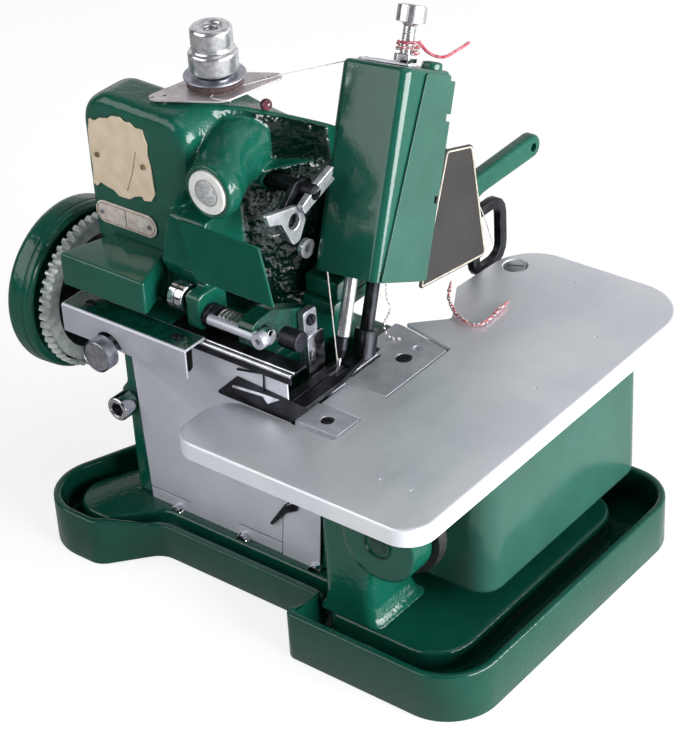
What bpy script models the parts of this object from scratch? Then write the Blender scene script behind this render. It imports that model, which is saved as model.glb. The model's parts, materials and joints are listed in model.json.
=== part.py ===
"""Three-thread overlock sewing machine, small cast-iron type, as separate named pieces.

Lengths are metres and +Z is up. The operator stands at -Y, the cloth plate is at +X and the
handwheel at -X. Every piece hangs from the empty 'machine', which centres the footprint.
"""
import math

import bmesh
import bpy
from mathutils import Matrix, Vector

# ---------------------------------------------------------------- driving dimensions
GAP = 0.0003                    # between pieces that touch
RUN = 0.0005                    # round a shaft or a piece that slides

# base tray, an upright lip round a moat and a raised platform
TRAY_RIGHT = 0.150
TRAY_FRONT = -0.114
TRAY_BACK = 0.080
TRAY_LEFT = -0.104
TRAY_STEP_X = 0.046
TRAY_SETBACK = -0.092
TRAY_LIP_TOP = 0.027
TRAY_WALL = 0.004
TRAY_FLOOR = 0.007
PLATFORM_TOP = 0.020
PLATFORM_FRONT = -0.095
PLATFORM_RIGHT = 0.128

# main casting: lower body, left block, arm
BODY_LEFT = -0.082
BODY_RIGHT = 0.0485
BODY_BACK = 0.028
CHAMBER_LEFT = -0.018
CHAMBER_RIGHT = 0.0355
CHAMBER_BACK = 0.0080
HOUSING_RIGHT = -0.024
HOUSING_TOP = 0.117
HUB_LEFT = -0.1140
BLOCK_LEFT = -0.109
BLOCK_FRONT = -0.0545
BLOCK_BACK = -0.026
BLOCK_BOTTOM = 0.152
ARM_TOP = 0.236
BOSS_X, BOSS_Z, BOSS_R = -0.0290, 0.2050, 0.0145
BOSS_FRONT = -0.0590
WINDOW_R = 0.0112
WINDOW_DEPTH = 0.0040
LUG_RIGHT = 0.0205

# handwheel and main shaft
SHAFT_Y, SHAFT_Z, SHAFT_R = -0.042, 0.1134, 0.0060
BUSH_R = 0.0095
WHEEL_R = 0.0455
WHEEL_LEFT = -0.150
WHEEL_WIDTH = 0.0165
RING_R = 0.0405
RING_LEFT = -0.1310
RING_WIDTH = 0.0060
RING_TEETH = 54
TOOTH_DEPTH = 0.0022

# cloth plate, a sheet with a turned-down rim, swinging on a screw at its far corner
PLATE_TOP = 0.104
PLATE_RIM = 0.0095
PLATE_SHEET = 0.0018
PLATE_LEFT = -0.0185
PLATE_RIGHT = 0.127
PLATE_FRONT = -0.1135
PLATE_BACK = 0.1275
PIVOT_X, PIVOT_Y = 0.0300, 0.1060
PLATE_EDGE = 0.0016
NEEDLE_PLATE_SHEET = 0.0035
NEEDLE_PLATE_LEFT = 0.0120

# leg under the cloth plate, with a round bearing boss
LEG_LEFT, LEG_RIGHT = 0.055, 0.084
LEG_FRONT, LEG_BACK = -0.094, -0.058
LEG_BOSS_X, LEG_BOSS_Z, LEG_BOSS_R = 0.091, 0.0735, 0.0205
LEG_BOSS_LENGTH = 0.0150
LEG_NECK_R = 0.0125
FEED_SHAFT_R = 0.0075

# box cover under the cloth plate
SIDE_LEFT, SIDE_RIGHT = 0.060, 0.124
SIDE_FRONT, SIDE_BACK = -0.055, 0.080
SIDE_BOTTOM, SIDE_TOP = 0.028, 0.0935
SIDE_WALL = 0.0016

# steel sheets on the front
COVER_FACE = -0.0716
COVER_SHEET = 0.0009
COVER_LEFT, COVER_RIGHT = -0.079, 0.0138
COVER_FOOT = 0.0206
COVER_BEND = 0.0975
BODY_FRONT = COVER_FACE + COVER_SHEET + GAP
BODY_TOP = PLATE_TOP - NEEDLE_PLATE_SHEET - GAP

# rail in front of the shaft housing, and the bed that the upper knife's parts stand on
RAIL_FRONT, RAIL_TOP, RAIL_SHEET = -0.0890, 0.1350, 0.0012
RAIL_SEAT_FRONT = -0.0800
BED_FRONT, BED_TOP, BED_SHEET = -0.0765, 0.1332, 0.0012
BED_LEFT, BED_RIGHT = -0.0485, 0.0290

# chrome screw with a socket in its head, on the body's left side
SOCKET_AT, SOCKET_R = (-0.0855, -0.0800, 0.0745), 0.0042

# upper knife: an arm that rocks on a rod along X, pressed to the right by a spring
ROD_Y, ROD_Z, ROD_R = -0.0630, 0.1402, 0.0040
ROD_LEFT, ROD_RIGHT = -0.0400, 0.0075
SPRING_LEFT, SPRING_RIGHT = -0.0240, -0.0070
COLLAR_LEFT = -0.0305
THUMB_Y, THUMB_Z, THUMB_R = -0.0660, 0.1478, 0.0022
THUMB_END = -0.0335             # end of the thumb screw's thread
KNIFE_X = 0.0092                # cutting plane, the upper blade's right face
KNIFE_Y = -0.0330
FOOT_LEFT = KNIFE_X + 0.0013    # the presser foot clears the blade, lifted too

# needle drive: rocker shaft along X in the arm
ROCKER_Y, ROCKER_Z, ROCKER_R = -0.0160, 0.1940, 0.0040
ROCKER_START, ROCKER_END = -0.0400, 0.0010
CRANK_X = -0.0060

# lifter shaft along X in the rear lug
LIFTER_Y, LIFTER_Z, LIFTER_PIN_R = 0.0700, 0.1440, 0.0035
LIFTER_LEFT, LIFTER_RIGHT = 0.0090, 0.0170
LIFTER_REACH, LIFTER_RISE = 0.0730, 0.0092
LIFTER_TIP = 0.0070              # from the eye to the lever's end

# head: tilted back and a little to the left, in its own frame with the right front foot at zero
HEAD_AT = (0.033, -0.014, 0.1535)
HEAD_TILT = math.radians(-24.8)
HEAD_LEAN = math.radians(-5.2)
HEAD_W, HEAD_D, HEAD_H = 0.0355, 0.0414, 0.1030
CASING_WALL = 0.0018
BAR_X = -0.0200                 # both bars lie in one plane across the head
NEEDLE_BAR_Y, NEEDLE_BAR_R = 0.0075, 0.0033
PRESSER_BAR_Y, PRESSER_BAR_R = 0.0270, 0.0034
PRESSER_FOOT_Z = -0.0360        # the presser bar's lower end, along the bar from the head's foot
NEEDLE_REACH = 0.0548           # from the foot of the head down to the needle's point

# tension stack on the arm
TENSION_X, TENSION_Y = -0.0540, -0.0195
TENSION_TURN = math.radians(54)
TENSION_STUD_R = 0.0030

GREEN = (0.010, 0.110, 0.065)


# ---------------------------------------------------------------- materials
def paint(name, colour, roughness, metallic):
    """One Principled material."""
    material = bpy.data.materials.new(name)
    material.use_nodes = True
    shader = material.node_tree.nodes["Principled BSDF"]
    shader.inputs["Base Color"].default_value = (*colour, 1.0)
    shader.inputs["Roughness"].default_value = roughness
    shader.inputs["Metallic"].default_value = metallic
    material.diffuse_color = (*colour, 1.0)
    return material


def own_material(name, kind):
    """A piece's own copy of one of the finishes."""
    finishes = {
        "enamel": (GREEN, 0.22, 0.0),
        "brushed": ((0.55, 0.55, 0.57), 0.38, 1.0),
        "steel": ((0.45, 0.45, 0.46), 0.30, 1.0),
        "dark": ((0.06, 0.06, 0.065), 0.42, 1.0),
        "chrome": ((0.80, 0.80, 0.82), 0.10, 1.0),
        "alloy": ((0.70, 0.70, 0.71), 0.35, 1.0),
        "brass": ((0.72, 0.55, 0.28), 0.40, 1.0),
        "black": ((0.02, 0.018, 0.018), 0.45, 0.0),
        "felt": ((0.12, 0.045, 0.030), 0.90, 0.0),
        "white": ((0.85, 0.85, 0.84), 0.30, 0.0),
        "glass": ((0.75, 0.80, 0.80), 0.05, 0.0),
    }
    return paint(name + "_finish", *finishes[kind])


# ---------------------------------------------------------------- outlines
def offset_corners(corners, inset):
    """Corners (x, y, r) of a counter-clockwise outline, moved inwards.

    The inset is one number, or one for each edge, the edge that starts at that corner.
    """
    count = len(corners)
    insets = inset if isinstance(inset, list) else [inset] * count
    moved = []
    for i in range(count):
        before = Vector(corners[i - 1][:2])
        here = Vector(corners[i][:2])
        after = Vector(corners[(i + 1) % count][:2])
        d0 = (here - before).normalized()
        d1 = (after - here).normalized()
        n0 = Vector((-d0.y, d0.x))
        n1 = Vector((-d1.y, d1.x))
        turn = d0.x * d1.y - d0.y * d1.x
        shift0, shift1 = insets[i - 1], insets[i]
        point = here + (d1 * shift0 - d0 * shift1) / turn
        change = min(shift0, shift1, key=abs) * (-1 if turn > 0 else 1)
        radius = max(corners[i][2] + change, 1e-5) if corners[i][2] else 0.0
        moved.append((point.x, point.y, radius))
    return moved


def rounded(corners, segments=5):
    """Points of an outline whose corners (x, y, r) are turned into arcs."""
    count = len(corners)
    points = []
    for i in range(count):
        before = Vector(corners[i - 1][:2])
        here = Vector(corners[i][:2])
        after = Vector(corners[(i + 1) % count][:2])
        radius = corners[i][2]
        d0 = (here - before).normalized()
        d1 = (after - here).normalized()
        angle = math.atan2(d0.x * d1.y - d0.y * d1.x, d0.dot(d1))
        if radius < 1e-6 or abs(angle) < 1e-3:
            points.append(tuple(here))
            continue
        start = here - d0 * radius * math.tan(abs(angle) / 2)
        spoke = Vector((d0.y, -d0.x)) * math.copysign(radius, angle)
        centre = start - spoke
        for k in range(segments + 1):
            c, s = math.cos(angle * k / segments), math.sin(angle * k / segments)
            points.append((centre.x + spoke.x * c - spoke.y * s, centre.y + spoke.x * s + spoke.y * c))
    return points


def box_corners(x0, x1, y0, y1, radius):
    """The four corners of an upright rectangle, all of one radius."""
    return [(x0, y0, radius), (x1, y0, radius), (x1, y1, radius), (x0, y1, radius)]


def box_points(x0, x1, y0, y1):
    """The four points of an upright rectangle."""
    return [(x0, y0), (x1, y0), (x1, y1), (x0, y1)]


def ring_points(radius, count, start=0.0):
    """Points of a regular ring about zero."""
    return [(radius * math.cos(start + math.tau * i / count),
             radius * math.sin(start + math.tau * i / count)) for i in range(count)]


# ---------------------------------------------------------------- solids as bmesh
def prism(points, z0, z1):
    """Outline points lifted from z0 to z1."""
    bm = bmesh.new()
    low = [bm.verts.new((x, y, z0)) for x, y in points]
    high = [bm.verts.new((x, y, z1)) for x, y in points]
    bm.faces.new(reversed(low))
    bm.faces.new(high)
    for i in range(len(points)):
        j = (i + 1) % len(points)
        bm.faces.new((low[i], low[j], high[j], high[i]))
    bmesh.ops.recalc_face_normals(bm, faces=bm.faces)
    return bm


def loft(rings):
    """Rings of equally many 3-D points, skinned and closed at both ends."""
    bm = bmesh.new()
    rows = [[bm.verts.new(p) for p in ring] for ring in rings]
    count = len(rows[0])
    for a, b in zip(rows, rows[1:]):
        for i in range(count):
            j = (i + 1) % count
            bm.faces.new((a[i], a[j], b[j], b[i]))
    bm.faces.new(reversed(rows[0]))
    bm.faces.new(rows[-1])
    bmesh.ops.recalc_face_normals(bm, faces=bm.faces)
    return bm


def pressed(corners, z0, z1, top=0.0, bottom=0.0, shares=None, segments=4, steps=2):
    """Corners lifted from z0 to z1, with the edges at either end rounded by top and bottom.

    Shares gives how much of that rounding each edge of the outline takes.
    """
    shares = shares or [1.0] * len(corners)
    levels = []
    for k in range(steps + 1 if bottom else 1):
        a = math.pi / 2 * k / steps
        levels.append((bottom * (1 - math.sin(a)), z0 + bottom * (1 - math.cos(a))))
    for k in range(steps + 1 if top else 1):
        a = math.pi / 2 * (1 - k / steps)
        levels.append((top * (1 - math.sin(a)), z1 - top * (1 - math.cos(a))))
    rings = []
    for inset, z in levels:
        outline = rounded(offset_corners(corners, [inset * share for share in shares]), segments)
        rings.append([(x, y, z) for x, y in outline])
    return loft(rings)


def facing_front(bm):
    """Swap Y and Z, so that an outline drawn in X and Z runs along Y."""
    for vert in bm.verts:
        vert.co = (vert.co.x, vert.co.z, vert.co.y)
    bmesh.ops.recalc_face_normals(bm, faces=bm.faces)
    return bm


def facing_side(bm):
    """Turn a solid so that an outline drawn in Y and Z runs along X."""
    for vert in bm.verts:
        vert.co = (vert.co.z, vert.co.x, vert.co.y)
    return bm


def turned(profile, steps=24, hollow=False):
    """A profile of (radius, z) points turned about Z.

    A solid profile runs from the axis to the axis. A hollow one is a closed loop off the axis.
    """
    bm = bmesh.new()
    rows = []
    for radius, z in profile:
        if radius < 1e-7:
            rows.append([bm.verts.new((0.0, 0.0, z))])
        else:
            rows.append([bm.verts.new((x, y, z)) for x, y in ring_points(radius, steps)])
    pairs = list(zip(rows, rows[1:]))
    if hollow:
        pairs.append((rows[-1], rows[0]))
    for a, b in pairs:
        for i in range(steps):
            j = (i + 1) % steps
            if len(a) == 1:
                bm.faces.new((a[0], b[j], b[i]))
            elif len(b) == 1:
                bm.faces.new((a[i], a[j], b[0]))
            else:
                bm.faces.new((a[i], a[j], b[j], b[i]))
    bmesh.ops.recalc_face_normals(bm, faces=bm.faces)
    return bm


def rod(radius, z0, z1, steps=20, chamfer=0.0):
    """A round bar along Z with optional chamfers."""
    c = chamfer
    profile = [(0, z0), (radius - c, z0), (radius, z0 + c), (radius, z1 - c), (radius - c, z1), (0, z1)]
    if not c:
        profile = [(0, z0), (radius, z0), (radius, z1), (0, z1)]
    return turned(profile, steps)


def sleeve(outer, inner, z0, z1, steps=24):
    """A plain tube along Z."""
    return turned([(inner, z0), (outer, z0), (outer, z1), (inner, z1)], steps, hollow=True)


def sweep(path, radius, sides=8):
    """A round wire along a list of 3-D points."""
    path = [Vector(p) for p in path]
    rings = []
    normal = None
    for i, p in enumerate(path):
        ahead = path[min(i + 1, len(path) - 1)] - path[max(i - 1, 0)]
        ahead.normalize()
        if normal is None:
            normal = ahead.orthogonal().normalized()
        normal = (normal - ahead * normal.dot(ahead)).normalized()
        across = ahead.cross(normal)
        rings.append([tuple(p + (normal * math.cos(a) + across * math.sin(a)) * radius)
                      for a in (math.tau * k / sides for k in range(sides))])
    return loft(rings)


AXES = {
    "Z": Matrix.Identity(4),
    "X": Matrix.Rotation(math.pi / 2, 4, "Y"),          # local Z runs along +X
    "Y": Matrix.Rotation(-math.pi / 2, 4, "X"),         # local Z runs along +Y
}


def laid(bm, axis):
    """Turn a solid made along Z so that it runs along another axis."""
    bmesh.ops.transform(bm, matrix=AXES[axis], verts=bm.verts)
    return bm


# ---------------------------------------------------------------- objects
def empty(name, location, parent=None, rotation=(0, 0, 0)):
    holder = bpy.data.objects.new(name, None)
    holder.empty_display_size = 0.01
    holder.location = location
    holder.rotation_euler = rotation
    holder.parent = parent
    bpy.context.collection.objects.link(holder)
    return holder


def head_empty(name, machine):
    """An empty in the head's own frame: leaned about Y, then tilted about X."""
    holder = empty(name, HEAD_AT, machine)
    holder.rotation_mode = "ZYX"
    holder.rotation_euler = (HEAD_TILT, HEAD_LEAN, 0)
    return holder


def piece(name, bm, kind, parent, location=(0, 0, 0), rotation=(0, 0, 0), smooth=35):
    """One named sub-part in its own finish."""
    mesh = bpy.data.meshes.new(name)
    bm.to_mesh(mesh)
    bm.free()
    mesh.materials.append(own_material(name, kind))
    mesh.shade_smooth()
    mesh.set_sharp_from_angle(angle=math.radians(smooth))
    obj = bpy.data.objects.new(name, mesh)
    obj.location = location
    obj.rotation_euler = rotation
    obj.parent = parent
    bpy.context.collection.objects.link(obj)
    return obj


def form(name, bm, parent, location=(0, 0, 0), rotation=(0, 0, 0)):
    """A guide solid that is added to a piece or cut from it."""
    mesh = bpy.data.meshes.new(name)
    bm.to_mesh(mesh)
    bm.free()
    obj = bpy.data.objects.new(name, mesh)
    obj.location = location
    obj.rotation_euler = rotation
    obj.parent = parent
    obj.hide_render = True
    obj.display_type = "WIRE"
    bpy.context.collection.objects.link(obj)
    return obj


def combine(target, other, operation):
    modifier = target.modifiers.new(other.name, "BOOLEAN")
    modifier.operation = operation
    modifier.solver = "EXACT"
    modifier.object = other
    return target


def add(target, other):
    return combine(target, other, "UNION")


def cut(target, other):
    return combine(target, other, "DIFFERENCE")


def soften(obj, width, segments=2, angle=40):
    modifier = obj.modifiers.new("edges", "BEVEL")
    modifier.width = width
    modifier.segments = segments
    modifier.limit_method = "ANGLE"
    modifier.angle_limit = math.radians(angle)
    return obj


# ---------------------------------------------------------------- base
def tray_corners():
    return [
        (TRAY_STEP_X, TRAY_FRONT, 0.005), (TRAY_RIGHT, TRAY_FRONT, 0.028),
        (TRAY_RIGHT, TRAY_BACK, 0.026), (TRAY_LEFT, TRAY_BACK, 0.026),
        (TRAY_LEFT, -0.036, 0.030), (-0.134, TRAY_FRONT + 0.001, 0.027),
        (-0.078, TRAY_FRONT + 0.001, 0.012), (-0.056, TRAY_SETBACK, 0.014),
        (TRAY_STEP_X, TRAY_SETBACK, 0.003),
    ]


def make_tray(machine):
    outer = rounded(tray_corners(), 5)
    inner = rounded(offset_corners(tray_corners(), TRAY_WALL), 5)
    tray = piece("base_tray", prism(outer, 0.0, TRAY_LIP_TOP), "enamel", machine)
    cut(tray, form("tray_moat", prism(inner, TRAY_FLOOR, TRAY_LIP_TOP + 0.01), machine))
    platform = [
        (TRAY_STEP_X + 0.010, PLATFORM_FRONT, 0.008), (PLATFORM_RIGHT, PLATFORM_FRONT, 0.022),
        (PLATFORM_RIGHT, TRAY_BACK - 0.022, 0.020), (TRAY_LEFT + 0.013, TRAY_BACK - 0.022, 0.018),
        (TRAY_LEFT + 0.013, -0.040, 0.026), (-0.120, -0.099, 0.017),
        (-0.083, -0.099, 0.010), (-0.062, BODY_FRONT - 0.006, 0.010),
        (TRAY_STEP_X + 0.010, BODY_FRONT - 0.006, 0.005),
    ]
    table = form("tray_platform", prism(rounded(platform, 5), TRAY_FLOOR - 0.002, PLATFORM_TOP), machine)
    soften(table, 0.002, 2, 60)
    add(tray, table)
    return tray


def make_leg(machine):
    """Leg that carries the cloth plate's end, with a bearing boss along Y."""
    top = PLATE_TOP - PLATE_RIM - GAP
    foot = PLATFORM_TOP + GAP
    rings = []
    for z, out in ((foot, 0.0045), (foot + 0.003, 0.0015), (foot + 0.009, 0.0), (top, 0.0)):
        corners = box_corners(LEG_LEFT - out, LEG_RIGHT + out, LEG_FRONT - out * 0.2, LEG_BACK + out, 0.006)
        rings.append([(x, y, z) for x, y in rounded(corners, 3)])
    leg = piece("front_leg", loft(rings), "enamel", machine)
    boss_front = LEG_FRONT - 0.001
    boss = laid(rod(LEG_BOSS_R, 0.0, LEG_BOSS_LENGTH, 28, 0.0012), "Y")
    add(leg, form("leg_boss", boss, machine, (LEG_BOSS_X, boss_front, LEG_BOSS_Z)))
    neck = laid(rod(LEG_NECK_R, 0.0, LEG_BACK - boss_front - 0.002, 20), "Y")
    add(leg, form("leg_neck", neck, machine, (LEG_BOSS_X, boss_front + 0.001, LEG_BOSS_Z)))
    seal = laid(sleeve(LEG_BOSS_R + 0.0035, LEG_NECK_R + GAP, 0.0, 0.0060, 28), "Y")
    ring = piece("leg_seal", seal, "black", machine, (LEG_BOSS_X, boss_front + LEG_BOSS_LENGTH + GAP, LEG_BOSS_Z))
    side = prism(box_points(LEG_LEFT - 0.02, LEG_RIGHT + GAP, LEG_FRONT - 0.02, LEG_BACK + 0.02), 0.0, 0.2)
    cut(ring, form("seal_side", side, machine))
    above = prism(box_points(LEG_LEFT, LEG_BOSS_X + 0.05, LEG_FRONT, LEG_BACK + 0.02), top, top + 0.02)
    cut(ring, form("seal_top", above, machine))
    shaft = laid(rod(FEED_SHAFT_R, 0.0, 0.085, 16, 0.0005), "Y")
    hole = laid(rod(FEED_SHAFT_R + RUN, 0.006, 0.040, 20), "Y")
    cut(leg, form("leg_bore", hole, machine, (LEG_BOSS_X, LEG_FRONT, LEG_BOSS_Z)))
    piece("feed_shaft", shaft, "steel", machine, (LEG_BOSS_X, LEG_FRONT + 0.008, LEG_BOSS_Z))
    return leg


# ---------------------------------------------------------------- main casting
def arm_section(x, y0, y1, z0, z1, fall, radius=0.006):
    """Section of the arm at one x, whose top falls off to the back."""
    corners = [(y0, z0, radius), (y1, z0, radius), (y1, z1 - fall, radius), (y0, z1, radius / 2)]
    return [(x, y, z) for y, z in rounded(corners, 4)]


def hump_section(y, x, z, radius):
    """Round section of the oil window's hump at one y."""
    return [(x + dx, y, z + dz) for dx, dz in ring_points(radius, 20)]


def side_prism(points, x0, x1):
    """An outline in Y and Z, run along X."""
    return loft([[(x, y, z) for y, z in points] for x in (x0, x1)])


def front_prism(points, y0, y1):
    """An outline in X and Z, run along Y."""
    return loft([[(x, y, z) for x, z in points] for y in (y0, y1)])


def make_frame(machine):
    """Lower body, shaft housing, left block, arm and lugs in one casting."""
    foot = PLATFORM_TOP + GAP
    rings = []
    for z, left, back in ((foot, BODY_LEFT - 0.009, BODY_BACK + 0.006),
                          (foot + 0.010, BODY_LEFT - 0.002, BODY_BACK),
                          (BODY_TOP, BODY_LEFT, BODY_BACK)):
        corners = [(left, BODY_FRONT, 0.009), (BODY_RIGHT, BODY_FRONT, 0.002),
                   (BODY_RIGHT, back, 0.006), (left, back, 0.014)]
        rings.append([(x, y, z) for x, y in rounded(corners, 4)])
    frame = piece("machine_frame", loft(rings), "enamel", machine)

    # looper chamber behind the steel cover, open to the front, the top and the right
    chamber = prism(rounded(box_corners(CHAMBER_LEFT, CHAMBER_RIGHT, BODY_FRONT - 0.01, CHAMBER_BACK, 0.004), 3),
                    foot + 0.008, BODY_TOP + 0.01)
    cut(frame, form("looper_chamber", chamber, machine))
    window = prism(rounded(box_corners(CHAMBER_RIGHT - 0.006, BODY_RIGHT + 0.01, -0.056, CHAMBER_BACK - 0.006,
                                       0.004), 3), foot + 0.012, BODY_TOP - 0.014)
    cut(frame, form("chamber_window", window, machine))

    front = BODY_FRONT + 0.006
    back = BODY_BACK - 0.006
    housing = [(BODY_LEFT, front, 0.010), (HOUSING_RIGHT, front, 0.004),
               (HOUSING_RIGHT, back, 0.004), (BODY_LEFT, back, 0.012)]
    add(frame, form("shaft_housing", prism(rounded(housing, 4), BODY_TOP - 0.004, HOUSING_TOP), machine))
    ledge = rounded(box_corners(BODY_LEFT + 0.002, BED_LEFT - GAP, RAIL_SEAT_FRONT, front + 0.008, 0.002), 2)
    add(frame, form("rail_seat", prism(ledge, HOUSING_TOP - 0.004, RAIL_TOP - RAIL_SHEET - GAP), machine))
    neck = rounded(box_corners(-0.098, -0.062, BLOCK_FRONT + 0.002, -0.004, 0.006), 3)
    add(frame, form("block_neck", prism(neck, HOUSING_TOP - 0.004, BLOCK_BOTTOM + 0.004), machine))
    hub = laid(rod(0.0150, 0.0, BODY_LEFT + 0.010 - HUB_LEFT, 20, 0.001), "X")
    add(frame, form("shaft_hub", hub, machine, (HUB_LEFT, SHAFT_Y, SHAFT_Z)))

    # left block: outline seen from the front
    block = [(BLOCK_LEFT, BLOCK_BOTTOM, 0.007), (-0.056, BLOCK_BOTTOM, 0.007), (-0.054, 0.186, 0.012),
             (-0.046, 0.198, 0.007), (-0.043, ARM_TOP - 0.002, 0.014), (BLOCK_LEFT, ARM_TOP, 0.017)]
    body = pressed(block, BLOCK_FRONT, BLOCK_BACK, 0.0065, 0.0060)
    add(frame, form("left_block", facing_front(body), machine))

    # arm: sections that recede and fall towards the head
    sections = [
        arm_section(-0.056, BLOCK_FRONT + 0.010, BLOCK_BACK + 0.022, 0.194, ARM_TOP - 0.0015, 0.0015),
        arm_section(-0.043, -0.023, 0.005, 0.192, 0.2310, 0.0100),
        arm_section(-0.028, -0.006, 0.016, 0.188, 0.2255, 0.0160),
        arm_section(-0.008, 0.007, 0.040, 0.176, 0.2190, 0.0220),
        arm_section(0.006, 0.020, 0.056, 0.164, 0.2120, 0.0230),
        arm_section(LUG_RIGHT - 0.0025, 0.024, 0.060, 0.152, 0.2040, 0.0230),
    ]
    add(frame, form("arm_loft", loft(sections), machine))
    hump = [
        hump_section(BOSS_FRONT + 0.0060, BOSS_X, BOSS_Z, BOSS_R - 0.0010),
        hump_section(BOSS_FRONT + 0.0150, BOSS_X - 0.0040, BOSS_Z + 0.0020, BOSS_R + 0.0010),
        hump_section(BOSS_FRONT + 0.0280, BOSS_X - 0.0110, BOSS_Z + 0.0040, BOSS_R + 0.0020),
        hump_section(BOSS_FRONT + 0.0480, BOSS_X - 0.0160, BOSS_Z + 0.0030, BOSS_R + 0.0020),
    ]
    add(frame, form("window_hump", loft(hump), machine))
    boss = laid(rod(BOSS_R, 0.0, 0.0100, 24, 0.0012), "Y")
    add(frame, form("window_boss", boss, machine, (BOSS_X, BOSS_FRONT, BOSS_Z)))
    seat = laid(rod(WINDOW_R + GAP, -0.002, WINDOW_DEPTH, 20), "Y")
    cut(frame, form("window_seat", seat, machine, (BOSS_X, BOSS_FRONT, BOSS_Z)))

    web = [(-0.080, BLOCK_BACK - 0.006, 0.004), (-0.034, BLOCK_BACK - 0.006, 0.010), (-0.010, 0.006, 0.004),
           (-0.010, 0.026, 0.008), (-0.080, 0.010, 0.012)]
    add(frame, form("back_web", prism(rounded(web, 3), BODY_TOP - 0.002, 0.200), machine))
    lug = [(0.0280, 0.1300, 0.004), (0.0840, 0.1190, 0.005), (0.0660, 0.1860, 0.008), (0.0500, 0.2000, 0.006),
           (0.0280, 0.1900, 0.004)]
    add(frame, form("rear_lug", side_prism(rounded(lug, 3), -0.012, LUG_RIGHT), machine))
    fork = prism(box_points(LIFTER_LEFT - RUN, LIFTER_RIGHT + RUN, LIFTER_Y - 0.0105, LIFTER_Y + 0.05),
                 LIFTER_Z - 0.0105, LIFTER_Z + 0.10)
    cut(frame, form("lifter_fork", fork, machine))
    pin = laid(rod(LIFTER_PIN_R + RUN, -0.0060, 0.05, 16), "X")
    cut(frame, form("lifter_bore", pin, machine, (0, LIFTER_Y, LIFTER_Z)))

    # lugs in front: oil cover post with the knife spring's bracket, and the seat of the knife bed
    post = [(-0.0575, 0.1860, 0.001), (-0.0655, 0.1635, 0.001), (-0.0560, 0.1450, 0.003), (-0.0300, 0.1450, 0.003),
            (-0.0300, 0.1860, 0.003)]
    add(frame, form("oil_post", side_prism(rounded(post, 3), -0.0575, -0.0340), machine))
    lug = [(ROD_Y - 0.0075, ROD_Z - 0.0070, 0.004), (-0.0500, ROD_Z - 0.0070, 0.002), (-0.0500, 0.1530, 0.002),
           (THUMB_Y - 0.0045, 0.1530, 0.003)]
    add(frame, form("spring_lug", side_prism(rounded(lug, 3), ROD_LEFT + GAP, COLLAR_LEFT - GAP), machine))
    bore = laid(rod(ROD_R + GAP, ROD_LEFT - 0.002, SPRING_LEFT, 16), "X")
    cut(frame, form("rod_bore", bore, machine, (0, ROD_Y, ROD_Z)))
    thread = laid(rod(THUMB_R + GAP, ROD_LEFT - 0.002, THUMB_END + 0.0005, 16), "X")
    cut(frame, form("thumb_bore", thread, machine, (0, THUMB_Y, THUMB_Z)))
    shelf = rounded(box_corners(-0.0460, HOUSING_RIGHT - 0.001, -0.0620, -0.0400, 0.003), 2)
    add(frame, form("bed_seat", prism(shelf, HOUSING_TOP - 0.004, BED_TOP - BED_SHEET - GAP), machine))

    ear = laid(rod(SOCKET_R + 0.0045, 0.0125, 0.0270, 16, 0.0008), "Y")
    add(frame, form("socket_ear", ear, machine, SOCKET_AT))
    hole = laid(rod(SOCKET_R + GAP, 0.0, 0.0235, 16), "Y")
    cut(frame, form("socket_bore", hole, machine, SOCKET_AT))
    bore = laid(rod(BUSH_R, -0.130, HOUSING_RIGHT + 0.010, 20), "X")
    cut(frame, form("shaft_bore", bore, machine, (0, SHAFT_Y, SHAFT_Z)))
    rocker = laid(rod(ROCKER_R + RUN, ROCKER_START - 0.001, 0.0, 16), "X")
    cut(frame, form("rocker_bore", rocker, machine, (0, ROCKER_Y, ROCKER_Z)))
    head = head_empty("head_space", machine)
    room = prism(box_points(-HEAD_W - GAP, 0.06, -0.06, HEAD_D + GAP), -0.05, HEAD_H + 0.05)
    cut(frame, form("head_room", room, head))
    return frame


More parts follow.
